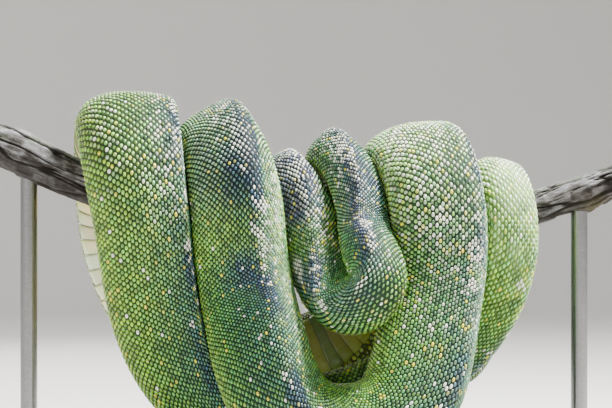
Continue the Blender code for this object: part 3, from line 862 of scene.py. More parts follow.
def softNoise(u, v, seed):
    table = np.random.default_rng(seed).random((64, 64))
    i, j = np.floor(u).astype(int), np.floor(v).astype(int)
    a, b = u - i, v - j
    a, b = a * a * (3 - 2 * a), b * b * (3 - 2 * b)
    i, j = i % 64, j % 64
    top = table[i, j] * (1 - b) + table[i, (j + 1) % 64] * b
    low = table[(i + 1) % 64, j] * (1 - b) + table[(i + 1) % 64, (j + 1) % 64] * b
    return top * (1 - a) + low * a


def girthAt(at):  # half the way round the body
    return np.interp(at, gridAt, halfGirth)


def bodyNoise(at, across, name):
    long, wide, shift, seed = marks[name]
    return softNoise(at / long, across / wide + shift, seed)


def bodyTones(at, share):  # how much of each tone there is at each place
    across = share * girthAt(at)
    tones = {name: np.zeros(len(at)) for name in toneNames}
    for place, reach, aside, spread, name, amount in marks["patches"]:
        near = ((at - place) / reach) ** 2 + ((share - aside) / spread) ** 2
        tones[name] += amount * np.exp(-near)
    spine = np.exp(-((across / (marks["blueReach"] * mm)) ** 2))
    ragged, fine = bodyNoise(at, across, "ragged"), bodyNoise(at, across, "fine")
    ridge = np.exp(-((across / (marks["paleReach"] * mm)) ** 2))
    tones["pale"] += marks["spinePale"] * ridge * fine * 1.6
    tones["blue"] += np.clip((ragged * 1.3 + spine * 0.7 - 1.02) * 2.0, 0, 1) * spine
    edge = (ragged - 0.5) * 0.5 + (fine - 0.5) * 0.6
    for name in toneNames:
        tones[name] = np.clip(tones[name] * (1 + edge * 1.2), 0, 1)
    return tones


python = {
    # colour from the spine (0) round to the belly (1)
    "flank": (
        (0.00, (0.026, 0.100, 0.078)),
        (0.20, (0.036, 0.140, 0.060)),
        (0.40, (0.058, 0.205, 0.032)),
        (0.60, (0.125, 0.275, 0.022)),
        (0.78, (0.290, 0.360, 0.060)),
        (1.00, (0.480, 0.440, 0.200)),
    ),
    "wander": 0.34,  # how far the flank's colours stray up and down
    # the tones laid over it, and how strongly
    "lime": ((0.165, 0.350, 0.006), 0.75),
    # pale is partly painted highlight where it is laid on lit tops and on a flank in shade
    "pale": ((0.400, 0.660, 0.205), 0.80),
    "blue": ((0.016, 0.045, 0.080), 0.90),
    "purple": ((0.080, 0.074, 0.150), 0.90),
    # white is white scales, and painted glints where the white tone lies
    "white": (0.860, 0.860, 0.740),
    "yellow": (0.700, 0.640, 0.030),
    "brightness": (0.48, 1.10),  # least, and how much more by chance
    # colour casts drawn from scale to scale
    "tints": ((0.00, (0.70, 0.96, 1.40)), (0.38, (1, 1, 1)), (0.66, (1, 1, 1)), (1.00, (1.32, 1.12, 0.52))),
    # painted light and shade from a scale's crown (0), a little lighter as painted highlight, to its rim
    # (1), darkened as painted shade
    "scaleShade": ((0.00, (1.15, 1.15, 1.12)), (0.45, (1, 1, 1)), (1.00, (0.10, 0.14, 0.17))),
    "damp": (0.35, 0.09),  # the wet coat's weight and roughness
    # the skin between scales: its own dark colour, made near black on the back as painted shade in the gaps
    "between": ((0.003, 0.007, 0.010), (0.16, 0.15, 0.08)),  # skin between scales: back, belly
}


def pythonColour(look):
    place, fromSpine = look.place("bodyPlace"), look.numbers("bodyPlace")[2]
    white, yellow, luck = look.numbers("bodyMark")
    pale, blue, purple = look.numbers("bodyTone")
    broad = look.noise(place, 45.0, 3.0, 0.6)
    around = (fromSpine + (broad - 0.5) * python["wander"]).clamped()
    colour = look.ramp(around, python["flank"])
    tones = {"lime": look.number("bodyLime"), "pale": pale, "blue": blue, "purple": purple}
    for name, amount in tones.items():
        tone, strength = python[name]
        colour = look.mix(amount * strength, colour, tone)
    least, more = python["brightness"]
    colour = look.node("VectorMath", {0: colour, "Scale": luck * more + least}, operation="SCALE")
    tint = look.ramp(look.maths("FRACT", luck * 7.3), python["tints"])
    colour = look.mix(1.0, colour, tint, "MULTIPLY")
    colour = look.mix(yellow, colour, python["yellow"])
    return look.mix(white, colour, python["white"]), place, fromSpine


def makeScaleMaterial():
    look = Finish("pythonScale", 0.36)
    colour, place, _ = pythonColour(look)
    # painted shade darkens each scale's edge and painted highlight lightens its crown; less painted shade
    # where it is eased
    shade = look.ramp(look.number("scaleRim"), python["scaleShade"])
    rimShadeStrength = 1.0 - look.number("bodyEasedShade") * 0.6
    look.set("Base Color", look.mix(rimShadeStrength, colour, shade, "MULTIPLY"))
    look.set("Roughness", look.noise(place, 700.0) * 0.20 + 0.14)
    weight, roughness = python["damp"]
    look.set("Coat Weight", weight)
    look.set("Coat Roughness", roughness)
    return look.material


def makeSkinMaterial():
    look = Finish("pythonSkin", 0.7, 0.15)
    colour, place, fromSpine = pythonColour(look)
    back, belly = python["between"]
    low = ((fromSpine - 0.45).clamped() * 1.8).clamped()
    between = look.mix(low, back, belly)
    # mostly the dark skin between scales, which carries painted shade in the gaps; less of it where that
    # shade is eased
    look.set("Base Color", look.mix(look.number("bodyEasedShade") * 0.45 + 0.10, between, colour))
    look.bump(look.noise(place, 2400.0, 3.0, 0.6), 0.25, 0.0002)
    return look.material


scaleMaterial = makeScaleMaterial()
skinMaterial = makeSkinMaterial()
print("snake materials ready")


def addPiece(name, verts, faces, material):
    mesh = bpy.data.meshes.new(name)
    faces = np.asarray(faces)
    mesh.vertices.add(len(verts))
    mesh.vertices.foreach_set("co", np.asarray(verts, np.float32).ravel())
    mesh.loops.add(faces.size)
    mesh.loops.foreach_set("vertex_index", faces.ravel().astype(np.int32))
    mesh.polygons.add(len(faces))
    mesh.polygons.foreach_set("loop_start", np.arange(0, faces.size, 3).astype(np.int32))
    mesh.update(calc_edges=True)
    mesh.validate()
    mesh.shade_smooth()
    mesh.materials.append(material)
    piece = addObject(name, mesh)
    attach(piece, "root")
    return piece


def addValues(piece, **values):  # numbers, or rows of three numbers, kept on the points for the material
    for name, array in values.items():
        array = np.asarray(array, np.float32)
        kind, field = ("FLOAT", "value") if array.ndim == 1 else ("FLOAT_VECTOR", "vector")
        piece.data.attributes.new(name, kind, "POINT").data.foreach_set(field, array.ravel())


def addUv(piece, corners):
    bake = piece.data.uv_layers.new(name="OFBake")
    bake.data.foreach_set("uv", np.clip(corners, 0, 1).astype(np.float32).ravel())


def addBodyValues(piece, at, share, white, yellow, luck, times=1):
    tones = bodyTones(at, share)
    values = {
        "bodyPlace": np.stack([at, share * girthAt(at), np.abs(share)], axis=1),
        "bodyMark": np.stack([white, yellow, luck], axis=1),
        "bodyTone": np.stack([tones["pale"], tones["blue"], tones["purple"]], axis=1),
        "bodyLime": tones["lime"],
        "bodyEasedShade": tones["soft"],
    }
    addValues(piece, **{name: np.repeat(array, times, axis=0) for name, array in values.items()})


# corners of each cell of a grid of points: its own, the next one round, and the same two of the next row
def gridCorners(rows, columns, closed, base=0):
    i, j = np.meshgrid(np.arange(rows - 1), np.arange(columns if closed else columns - 1), indexing="ij")
    a = base + (i * columns + j).ravel()
    b = base + (i * columns + (j + 1) % columns).ravel()
    return a, b, a + columns, b + columns


def quadFaces(p, q, r, s):  # two sets of triangles
    return [np.stack([p, q, r], axis=1), np.stack([p, r, s], axis=1)]


def tubeFaces(rows, columns):  # rings of points, row by row, with the points at both ends as the last two
    a, b, c, d = gridCorners(rows, columns, True)
    ring = np.arange(columns)
    following = np.roll(ring, -1)
    back = (rows - 1) * columns
    first, last = np.full(columns, rows * columns), np.full(columns, rows * columns + 1)
    ends = [(first, ring, following), (back + ring, last, back + following)]
    return np.concatenate(quadFaces(a, c, d, b) + [np.stack(corners, axis=1) for corners in ends])


bakeStrips = 12  # the body's length is cut into strips laid side by side on the skin's map


def makeSkin():
    rows, columns = grid.shape[0], grid.shape[1] - 1
    tips = (gridCentre[0] - gridWay[0] * 0.05 * mm, gridCentre[-1] + gridWay[-1] * 0.3 * mm)
    verts = np.concatenate([grid[:, :-1].reshape(-1, 3), tips])
    faces = tubeFaces(rows, columns)[:, ::-1]
    piece = addPiece("pythonSkin", verts, faces, skinMaterial)
    at = np.append(np.repeat(gridAt, columns), [0, bodyLength])
    share = np.append(np.tile(np.linspace(-1, 1, columns + 1)[:-1], rows), [0, 0])
    nothing = np.zeros(len(at))
    addBodyValues(piece, at, share, nothing, nothing, nothing + 0.5)
    flesh = [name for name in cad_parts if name.split("_")[0] in ("head", "neck", "trunk", "tail")]
    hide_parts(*flesh)
    along = np.append(np.repeat(np.arange(rows), columns), [0, rows - 1])[faces] / (rows - 1) * bakeStrips
    strip = np.clip(along.mean(axis=1), 0, bakeStrips - 0.001).astype(int)[:, None]
    around = share[faces] / 2 + 0.5
    seam = np.ptp(around, axis=1)[:, None] > 0.5
    around = np.where(seam & (around < 0.5), around + 1, around)
    u = (strip + 0.02 + 0.94 * around) / bakeStrips
    addUv(piece, np.stack([u, 0.01 + 0.98 * (along - strip)], axis=2))
    print("skin made:", len(faces), "faces")


makeSkin()

scales = {
    "seed": 21,
    # start (m along the body), columns across the back and flanks, length mm, dome mm
    "regions": (
        (0.0465, 41, 1.40, 0.28),
        (0.075, 43, 1.60, 0.34),
        (0.115, 45, 1.80, 0.40),
        (0.195, 49, 2.00, 0.50),
        (0.265, 55, 2.10, 0.56),
        (0.325, 65, 2.00, 0.56),
        (0.370, 69, 1.98, 0.56),
        (0.560, 65, 2.15, 0.58),
        (1.150, 57, 2.20, 0.58),
        (1.205, 49, 2.35, 0.56),
        (1.245, 41, 2.60, 0.56),
        (1.330, 33, 1.90, 0.34),
        (1.368, 27, 1.50, 0.28),
        (1.405, 19, 1.20, 0.20),
        (1.432, 13, 0.95, 0.13),
        (1.4575, 0, 0, 0),
    ),
    "narrowSpine": 0.80,  # width of the scales at the spine, beside the average
    "fillLong": 0.92,  # of the distance between rows
    "fillWide": 0.555,  # of the distance between scales of one row
    "lengths": (0.94, 1.04),  # least and greatest by chance, beside the usual one
    "widths": (0.93, 1.05),
    "opened": (0.28, 0.24),  # how much shorter and wider the scales are where the rows part
    "mostPulled": 1.18,
    "uneven": 1.6,  # how much less even the scales are where they are speckled
    "jitter": 0.05,
    "turned": 0.06,
    "domeChange": 0.16,
    "perPiece": 6200,
    "bakePatch": 0.0014,  # half a scale's patch on the bake's map
}


# points (towards the tail, round the body, share of height, rim) and faces of one closed scale; the rim
# value paints shade at the edge
def outlineShape(outline, sunk, shoulder, high, crown):
    count = len(outline)
    points = [(u, v, sunk, 1.0) for u, v in outline]
    points += [(shoulder * u + 0.06, shoulder * v, high + 0.10 * u, 0.45) for u, v in outline]
    points.append((*crown, 0.0))
    faces = []
    for k in range(count):
        m = (k + 1) % count
        faces += [(k, count + k, count + m), (k, count + m, m), (count + k, 2 * count, count + m)]
    faces += [(0, k, k + 1) for k in range(1, count - 1)]
    return np.array(points), np.array(faces)


bodySide = [(-0.80, 0.66), (-0.12, 1.0), (0.62, 0.74)]
bodyOutline = [(-1.0, 0.0), *bodySide, (1.06, 0.0), *((u, -v) for u, v in bodySide[::-1])]
bodyScale = outlineShape(bodyOutline, -0.35, 0.74, 0.66, (0.10, 0.0, 1.0))


def gridRow(at):  # row of the skin's grid, with its fraction
    return np.interp(at, gridAt, np.arange(len(gridAt)))


def onSkin(at, share):  # place and normal on the skin; share is -1 to 1 from belly to belly over the back
    i = np.clip(gridRow(at), 0, len(gridAt) - 1.001)
    j = np.mod((share + 1) / 2 * (grid.shape[1] - 1), grid.shape[1] - 1)
    row, column = i.astype(int), j.astype(int)
    a, b = (i - row)[:, None], (j - column)[:, None]
    found = []
    for values in (grid, normals):
        top = values[row, column] * (1 - b) + values[row, column + 1] * b
        low = values[row + 1, column] * (1 - b) + values[row + 1, column + 1] * b
        found.append(top * (1 - a) + low * a)
    return found


def atShare(values, at, share):
    row = np.clip(gridRow(at).round().astype(int), 0, len(gridAt) - 1)
    column = np.clip(((share + 1) / 2 * (grid.shape[1] - 1)).round().astype(int), 0, grid.shape[1] - 1)
    return values[row, column]


# one closed scale for each entry of the sheet: half lengths in metres, half widths in shares of the half
# girth; reach is how far round the body the map goes, and spot places scales on the snout's front
def layScales(name, sheet, shape, reach=1.0, spot=None):
    at, share, halfLong, halfWide, height = (sheet[key] for key in ("at", "share", "long", "wide", "height"))
    points, faces = shape
    turn = sheet.get("turn", np.zeros(len(at)))
    girths = girthAt(at)
    cos, sin = np.cos(turn)[:, None], np.sin(turn)[:, None]
    along = halfLong[:, None] * points[:, 0]
    across = (halfWide * girths)[:, None] * points[:, 1]
    if spot:
        u, v = spot(sheet["aside"][:, None] + across, sheet["high"][:, None] + along)
    else:
        u = at[:, None] + cos * along - sin * across
        v = share[:, None] + (sin * along + cos * across) / girths[:, None]
    place, normal = onSkin(u.ravel(), v.ravel())
    verts = place + normal * (height[:, None] * points[:, 2]).reshape(-1, 1)
    allFaces = (faces[None, :, :] + len(points) * np.arange(len(at))[:, None, None]).reshape(-1, 3)
    piece = addPiece(name, verts, allFaces, scaleMaterial)
    addBodyValues(piece, at, share, sheet["white"], sheet["yellow"], sheet["luck"], len(points))
    addValues(piece, scaleRim=np.tile(points[:, 3], len(at)))
    rootU = 0.004 + 0.992 * (at - at.min()) / max(np.ptp(at), 1e-6)
    rootV = 0.004 + 0.992 * (share + reach) / (2 * reach)
    roots = np.stack([rootU, rootV], axis=1)[:, None, :] + scales["bakePatch"] * points[None, :, :2]
    addUv(piece, roots.reshape(-1, 2)[allFaces])


def colourScales(sheet, rng, odds=1.0):
    at, share = sheet["at"], sheet["share"]
    count = len(at)
    tones = bodyTones(at, share)
    speckle = tones["speckle"]
    across = share * girthAt(at)
    spots = np.maximum(*(spotCover(at, across, *spots) for spots in marks["whiteSpots"]))
    end, fade = marks["looseEnd"]
    odds = odds * np.clip((end - np.abs(share)) / fade, 0, 1)
    clump = bodyNoise(at, across, "clumps")
    whiteOdds = (marks["whiteOdds"] + marks["speckled"] * 0.55 * speckle) * odds
    yellowOdds = (marks["yellowOdds"] * (0.2 + 3.2 * clump**2) + marks["speckled"] * 0.45 * speckle) * odds
    dice = rng.random(count)
    white = np.where((spots > rng.uniform(0.3, 0.8, count)) | (dice < whiteOdds), 1.0, 0.0)
    sheet["yellow"] = np.where(dice > 1 - yellowOdds, rng.uniform(0.15, 0.95, count), 0.0)
    # white flecks: random speckling, and the white tone, which is white scales and painted glints
    flecked = speckle * rng.uniform(-0.9, 0.7, count) + tones["chalk"] * rng.uniform(0.2, 1.0, count)
    sheet["white"] = np.maximum(white * rng.uniform(0.6, 1.0, count), flecked)
    spread = rng.random(count) - 0.5
    sheet["luck"] = np.clip(0.5 + spread * (1 + 0.5 * speckle), 0.02, 1)


def scaleRows():  # place, share round the body, half length, half width and height of every body scale
    found = []
    number = 0
    narrow = scales["narrowSpine"]
    for (start, columns, length, dome), (end, *_) in zip(scales["regions"], scales["regions"][1:]):
        middle = (columns - 1) / 2
        end = min(end, bodyLength - 2 * mm)
        rows = max(int(round((end - start) / (length * mm / 2))), 1)
        step = (end - start) / rows
        for row in range(rows):
            k = np.arange(number % 2, columns, 2)
            number += 1
            t = (k - middle) / (middle + 0.5)
            share = skin["belly"] * (narrow * t + (1 - narrow) * t**3)
            wide = skin["belly"] / (middle + 0.5) * (narrow + 3 * (1 - narrow) * t**2)
            ones = np.ones(len(k))
            found.append(np.stack([ones * (start + row * step), share, ones * step, wide, ones * dome * mm]))
    return np.concatenate(found, axis=1)


def makeScales():
    rng = np.random.default_rng(scales["seed"])
    at, share, halfLong, halfWide, height = scaleRows()
    count = len(at)
    uneven = 1 + scales["uneven"] * bodyTones(at, share)["speckle"]
    halfLong = halfLong * scales["fillLong"] * rng.uniform(*scales["lengths"], count)
    halfWide = halfWide * scales["fillWide"] * rng.uniform(*scales["widths"], count)
    jitter, dome = scales["jitter"], scales["domeChange"]
    sheet = {
        "at": at + rng.normal(0, jitter, count) * uneven * halfLong,
        "share": share + rng.normal(0, jitter, count) * uneven * halfWide,
        "long": halfLong,
        "wide": halfWide,
        "height": height * (1 + rng.uniform(-dome, dome, count) * uneven),
        "turn": rng.normal(0, scales["turned"], count) * uneven,
    }
    pulled = atShare(stretch, sheet["at"], sheet["share"])
    parted = bodyTones(sheet["at"], sheet["share"])["open"]
    shorter, wider = scales["opened"]
    sheet["long"] *= np.minimum(1, scales["mostPulled"] / pulled) * (1 - shorter * parted)
    sheet["wide"] *= 1 + wider * parted
    sheet["height"] *= np.clip(pulled + 0.25, 0.5, 1.0)
    colourScales(sheet, rng)
    pieces = int(math.ceil(count / scales["perPiece"]))
    edges = np.linspace(0, count, pieces + 1).astype(int)
    for number, (first, last) in enumerate(zip(edges, edges[1:]), 1):
        part = {key: values[first:last] for key, values in sheet.items()}
        layScales(f"bodyScales_{number:02d}", part, bodyScale)
    print("body scales laid:", count, "in", pieces, "pieces")


makeScales()

# the wide plates of the belly, each tucked under the one before it
plates = {
    "seed": 41,
    "start": 0.050,
    "vent": 1.330,  # from here on the plates are in pairs
    "end": 1.452,
    "length": 5.4,  # mm at the middle of the body
    "tailLength": 2.6,
    "across": 22,
    "edge": 0.765,  # share round the body where a plate begins
    "height": 0.36,  # mm
    "sunk": 0.12,  # mm, at a plate's ends
    "taper": (0.10, 0.16),  # share of a plate, and of one of a pair, over which its ends go down
    "split": 0.01,  # half the gap between the plates of a pair
    # share of its length, share of its height, rim; the rim darkens the plates' ends and edges as painted
    # shade
    "stages": (
        (0.0, -0.30, 1.0), (0.08, 0.10, 0.5), (0.45, 0.55, 0.1), (0.88, 1.0, 0.2), (1.04, 0.75, 0.7),
        (1.05, -0.45, 1.0),
    ),
}


def makePlates():
    rng = np.random.default_rng(plates["seed"])
    found, faces = [], []
    stageAt, stageHigh, stageRim = np.array(plates["stages"]).T[:, :, None]
    columns = plates["across"] + 1
    taper, pairTaper = plates["taper"]
    split = plates["split"]
    at = plates["start"]
    number = base = 0
    while at < plates["end"]:
        radius = float(girth(at / bodyLength)) / route["thickest"]
        tail = at > plates["vent"]
        length = plates["tailLength" if tail else "length"] * mm * max(radius, 0.25) ** 0.45
        luck = rng.random()
        for first, last in ((split, 1.0), (-1.0, -split)) if tail else ((-1.0, 1.0),):
            t = np.linspace(first, last, columns)
            ends = np.minimum(t - first, last - t) / pairTaper if tail else (1 - np.abs(t)) / taper
            ends = np.clip(ends, 0, 1)
            ends = ends * (2 - ends)
            u = at + length * (0.5 + (stageAt - 0.5) * (0.80 + 0.20 * ends))
            share = 1 + (1 - plates["edge"]) * t
            lift = plates["height"] * mm * (0.45 + 0.55 * min(radius, 1)) * stageHigh * ends
            lift = lift - plates["sunk"] * mm * (1 - ends)
            placeRound = np.mod(share + 1, 2) - 1
            values = np.broadcast_arrays(u, placeRound, lift, at, luck, stageRim, 0.5 + 0.49 * t)
            found.append(np.reshape(values, (len(values), -1)))
            a, b, c, d = gridCorners(len(stageAt), columns, False, base)
            k = base + np.arange(columns - 1)
            low = k + (len(stageAt) - 1) * columns  # the underside closes the plate
            faces += quadFaces(a, c, d, b) + quadFaces(low, k, k + 1, low + 1)
            base += u.size
        at += length
        number += 1
    faces = np.concatenate(faces)
    u, v, lift, at, luck, rim, across = np.concatenate(found, axis=1)
    place, normal = onSkin(u, v)
    piece = addPiece("bellyPlates", place + normal * lift[:, None], faces, scaleMaterial)
    addBodyValues(piece, at, np.abs(v), 0 * at, 0 * at, 0.35 + 0.5 * luck)
    addValues(piece, scaleRim=rim)
    along = 0.004 + 0.992 * (u - u.min()) / np.ptp(u)
    addUv(piece, np.stack([along, across], axis=1)[faces])
    print("belly plates laid:", number)


makePlates()

headScales = {
    "seed": 31,
    # share of the head's length, size in mm
    "sizes": (
        (0.00, 0.95), (0.08, 1.25), (0.22, 1.35), (0.34, 1.10), (0.50, 1.00), (0.80, 1.15), (0.95, 1.35),
    ),
    "start": 0.75,  # mm behind the snout's tip
    "apart": (0.74, 0.80),  # distance between scales along and round, beside their size
    "fill": (0.56, 0.48),  # half length and half width, beside their size
    "jitter": (0.07, 0.06),
    "turned": 0.25,
    "height": 0.24,
    "eyeClear": 1.55,  # mm of bare rim round the eye's opening
    "lipStart": 2.2,
    "lipEnd": 0.74,
    "lipLength": 2.60,
    "lipHeight": 0.34,
    "lipGap": 0.30,  # mm between a shield and the mouth's line
    "lipFill": (0.525, 1.08),  # half length beside the spacing, and height beside the wanted one
    # height of the shields: share of the head's length, mm
    "upperTall": ((0.03, 2.2), (0.15, 2.8), (0.35, 2.4), (0.74, 2.3)),
    "lowerTall": ((0.03, 1.9), (0.20, 2.3), (0.74, 2.4)),
    "upperPits": (0, 3),  # shields with heat pits, counted from the snout
    "lowerPits": (5, 11),
    # on the snout's front: mm aside, mm high, half width, half height, pitted
    "front": (
        (0.00, 0.62, 1.20, 1.00, 0), (2.12, 0.45, 0.86, 0.98, 1), (3.72, 0.22, 0.66, 0.98, 1),
        (0.00, -1.42, 1.00, 0.66, 0), (1.88, -1.50, 0.84, 0.66, 0), (3.40, -1.66, 0.64, 0.66, 0),
    ),
    "frontHeight": 0.30,
    "frontReach": 0.16,  # head lengths that count as the snout's front
    "shieldTint": (0.25, (0.3, 0.9)),  # most yellow, and the range of their shades
    "markOdds": 0.6,  # of white and yellow scales, beside the body's
    "lipSquare": 0.55,  # 1 would make the lips' shields oval
    # half length, half width and height in mm, and turn, of the shield round the nostril
    "nostril": (1.15, 0.95, 0.36, 0.4),
    # how many scales round the eye, their half length, half width and height, and mm from the opening
    "eyeRing": (16, 0.62, 0.58, 0.30, 0.50),
}


def squared(x):  # pulls a circle's points out towards a square
    return math.copysign(abs(x) ** headScales["lipSquare"], x)


lipReach = 1.1  # share round the body that the lips' maps cover
lipTurns = np.linspace(0, 2 * math.pi, 16, endpoint=False)
lipOutline = [(squared(math.cos(turn)), squared(math.sin(turn))) for turn in lipTurns]
lipScale = outlineShape(lipOutline, -0.35, 0.80, 0.80, (0.0, 0.0, 1.0))


def pitShape(shape):  # a scale with a deep hollow in its middle
    points, faces = shape
    count = (len(points) - 1) // 2
    inner = points[count : 2 * count].copy()
    inner[:, :2] *= 0.50
    # the rim values paint the hollow dark as painted shade
    inner[:, 2:] = (0.95, 0.6)
    hollow = inner.copy()
    hollow[:, :2] *= 0.72
    hollow[:, 2:] = (-0.9, 1.0)
    middle = points[-1:].copy()
    middle[0, 2:] = (-1.1, 1.0)
    points = np.concatenate([points[: 2 * count], inner, hollow, middle])
    faces = [face for face in faces.tolist() if 2 * count not in face]
    for k in range(count):
        m = (k + 1) % count
        for a, b in ((count + k, count + m), (2 * count + k, 2 * count + m)):
            faces += [(a, a + count, b + count), (a, b + count, b)]
        faces.append((3 * count + k, 4 * count, 3 * count + m))
    return points, np.array(faces)


# share round the head where the values, which grow from the spine down, reach the wanted one
def shareWhere(at, side, values, wanted):
    row = int(round(float(gridRow(at))))
    middle = (grid.shape[1] - 1) // 2
    columns = middle + side * np.arange(0, middle + 1)
    order = np.maximum.accumulate(values[row, columns])
    return side * float(np.interp(wanted, order, np.arange(len(columns)))) / middle


def nostrilPlace(side):
    at, around, _, _ = headForm["nostril"]
    turns = np.degrees(np.arctan2(np.abs(headAside), headHigh))
    row = int(round(float(gridRow(at * headLength))))
    return gridAt[row], shareWhere(at * headLength, side, turns, around)


def makeSmallScales(rng, lipEnd):
    rows = []
    at, number = headScales["start"] * mm, 0
    apartLong, apartWide = headScales["apart"]
    while at < scales["regions"][0][0] + 0.2 * mm:
        size = float(fromTable(headScales["sizes"], at / headLength)) * mm
        half = float(girthAt(at))
        count = max(int(round(half / (size * apartWide))), 2)
        k = (np.arange(count) + (0.5 if number % 2 else 0.0)) / count
        for side in (1, -1):
            share = side * k[(k < 0.98) & ((side > 0) | (k > 0))]
            rows.append(np.stack([0 * share + at, share, 0 * share + size, 0 * share + half]))
        at += size * apartLong
        number += 1
    at, share, size, half = np.concatenate(rows, axis=1)
    jitterLong, jitterWide = headScales["jitter"]
    at = at + rng.normal(0, jitterLong, len(at)) * size
    share = share + rng.normal(0, jitterWide, len(at)) * size / half
    place, _ = onSkin(at, share)
    fromLip = atShare(headHigh, at, share) - mouthHeight(at / headLength)
    upper, lower = (fromTable(headScales[name], at / headLength) * mm for name in ("upperTall", "lowerTall"))
    lips = (at < lipEnd + 0.25 * size) & (fromLip < upper + 0.30 * size) & (fromLip > -lower - 0.30 * size)
    keep = ~lips
    clear = head["eyeOpening"] * head["eyeRadius"] + headScales["eyeClear"] * mm
    for side in (1, -1):
        centre, outWay, _, _ = eyePlace(side)
        outward, across = fromEye(place, centre, outWay)
        keep &= (across > clear) | (outward < -1.0 * mm)
        nostril, _ = onSkin(*(np.array([value]) for value in nostrilPlace(side)))
        keep &= np.linalg.norm(place - nostril, axis=1) > headScales["nostril"][0] * mm + 0.25 * size
    at, share, size, half = at[keep], share[keep], size[keep], half[keep]
    long, wide = headScales["fill"]
    sheet = {
        "at": at, "share": share, "long": size * long, "wide": size / half * wide,
        "height": headScales["height"] * mm * np.ones(len(at)),
        "turn": rng.normal(0, headScales["turned"], len(at)),
    }
    colourScales(sheet, rng, headScales["markOdds"])
    layScales("headScales", sheet, bodyScale)
    return len(at)


def lipShields(count):  # shields along both sides of the mouth: the plain ones, and those with heat pits
    plain, pitted = [], []
    long = headScales["lipLength"]
    for upward, tall, pits in ((1, "upperTall", "upperPits"), (-1, "lowerTall", "lowerPits")):
        first, last = headScales[pits]
        fillLong, fillTall = headScales["lipFill"]
        for side in (1, -1):
            for k in range(count):
                at = (headScales["lipStart"] + (k + 0.5) * long) * mm
                high = float(fromTable(headScales[tall], at / headLength)) * mm / 2
                away = upward * (headScales["lipGap"] * mm + high)
                share, ahead = (
                    shareWhere(place, side, -headHigh, -mouthHeight(place / headLength) - away)
                    for place in (at, at + 1 * mm)
                )
                half = float(girthAt(at))
                turn = math.atan2((ahead - share) * half, 1 * mm)
                size = (long * fillLong * mm, high * fillTall / half, headScales["lipHeight"] * mm)
                (pitted if first <= k < last else plain).append((at, share, *size, turn))
    return plain, pitted


def nostrilShields():
    long, wide, height, turn = headScales["nostril"]
    rows = []
    for side in (1, -1):
        at, share = nostrilPlace(side)
        rows.append((at, share, long * mm, wide * mm / float(girthAt(at)), height * mm, side * turn))
    return rows


# the sheet of rows of place, share, half length, half width, height and turn
def shieldSheet(rows, rng, mostYellow, luck):
    sheet = dict(zip(("at", "share", "long", "wide", "height", "turn"), np.array(rows).T))
    sheet["white"] = np.zeros(len(rows))
    sheet["yellow"] = rng.uniform(0, mostYellow, len(rows)) if mostYellow else np.zeros(len(rows))
    sheet["luck"] = rng.uniform(*luck, len(rows))
    return sheet


def makeHeadScales():
    rng = np.random.default_rng(headScales["seed"])
    start, long = headScales["lipStart"], headScales["lipLength"]
    lipCount = int((headScales["lipEnd"] * headLength / mm - start) / long)
    small = makeSmallScales(rng, (start + lipCount * long) * mm)
    plain, pitted = lipShields(lipCount)
    pitted += nostrilShields()
    for name, rows, shape in (("lipScales", plain, lipScale), ("pitScales", pitted, pitShape(lipScale))):
        layScales(name, shieldSheet(rows, rng, *headScales["shieldTint"]), shape, lipReach)
    makeFrontShields(rng)
    makeEyeRings(rng)
    print("head scales laid:", small, "small and", len(plain) + len(pitted), "shields")


# place on the snout's rounded front, from how far aside and how high it is
def frontSpot(aside, high):
    rows = np.nonzero(gridAt < headScales["frontReach"] * headLength)[0]
    shares = np.linspace(-1, 1, grid.shape[1])
    turn = np.arctan2(aside, high).ravel()
    wanted = np.hypot(aside, high).ravel()
    sizes, places = [], []
    for row in rows:
        turns = np.arctan2(headAside[row], headHigh[row])
        turns[0], turns[-1] = -math.pi, math.pi
        order = np.argsort(turns)
        sizes.append(np.interp(turn, turns[order], np.hypot(headAside[row], headHigh[row])[order]))
        places.append(np.interp(turn, turns[order], shares[order]))
    sizes, places = np.maximum.accumulate(np.array(sizes), axis=0), np.array(places)
    at, share = np.empty(len(turn)), np.empty(len(turn))
    for k in range(len(turn)):
        at[k] = np.interp(wanted[k], sizes[:, k], gridAt[rows])
        share[k] = np.interp(at[k], gridAt[rows], places[:, k])
    return at.reshape(aside.shape), share.reshape(aside.shape)


def makeFrontShields(rng):
    for name, pitted, shape in (("snoutShields", 0, lipScale), ("snoutPits", 1, pitShape(lipScale))):
        rows = []
        for aside, high, wide, tall, pit in headScales["front"]:
            for side in (1, -1) if aside else (1,):
                if pit == pitted:
                    rows.append((side * aside * mm, high * mm, tall * mm, wide * mm))
        aside, high, tall, wide = np.array(rows).T
        at, share = (values[:, 0] for values in frontSpot(aside[:, None], high[:, None]))
        height = np.full(len(at), headScales["frontHeight"] * mm)
        rows = np.stack([at, share, tall, wide / girthAt(at), height, 0 * at], axis=1)
        sheet = shieldSheet(rows, rng, *headScales["shieldTint"])
        sheet.update(aside=aside, high=high)
        layScales(name, sheet, shape, lipReach, frontSpot)


def makeEyeRings(rng):
    rows = []
    near = gridAt < headLength
    count, long, wide, height, away = headScales["eyeRing"]
    radius = head["eyeOpening"] * head["eyeRadius"] + away * mm
    for side in (1, -1):
        centre, outWay, alongWay, upWay = eyePlace(side)
        for k in range(count):
            angle = 2 * math.pi * k / count
            target = centre + radius * (math.cos(angle) * alongWay + math.sin(angle) * upWay)
            outward, gap = fromEye(grid[near], target, outWay)
            gap = gap + np.where(outward < -2 * mm, 1, 0)
            row, column = np.unravel_index(gap.argmin(), gap.shape)
            share = column / (grid.shape[1] - 1) * 2 - 1
            half = float(girthAt(gridAt[row]))
            way = math.atan2(-side * math.sin(angle), math.cos(angle))
            rows.append((gridAt[row], share, long * mm, wide * mm / half, height * mm, way))
    layScales("eyeScales", shieldSheet(rows, rng, 0, (0.2, 0.8)), bodyScale)


makeHeadScales()

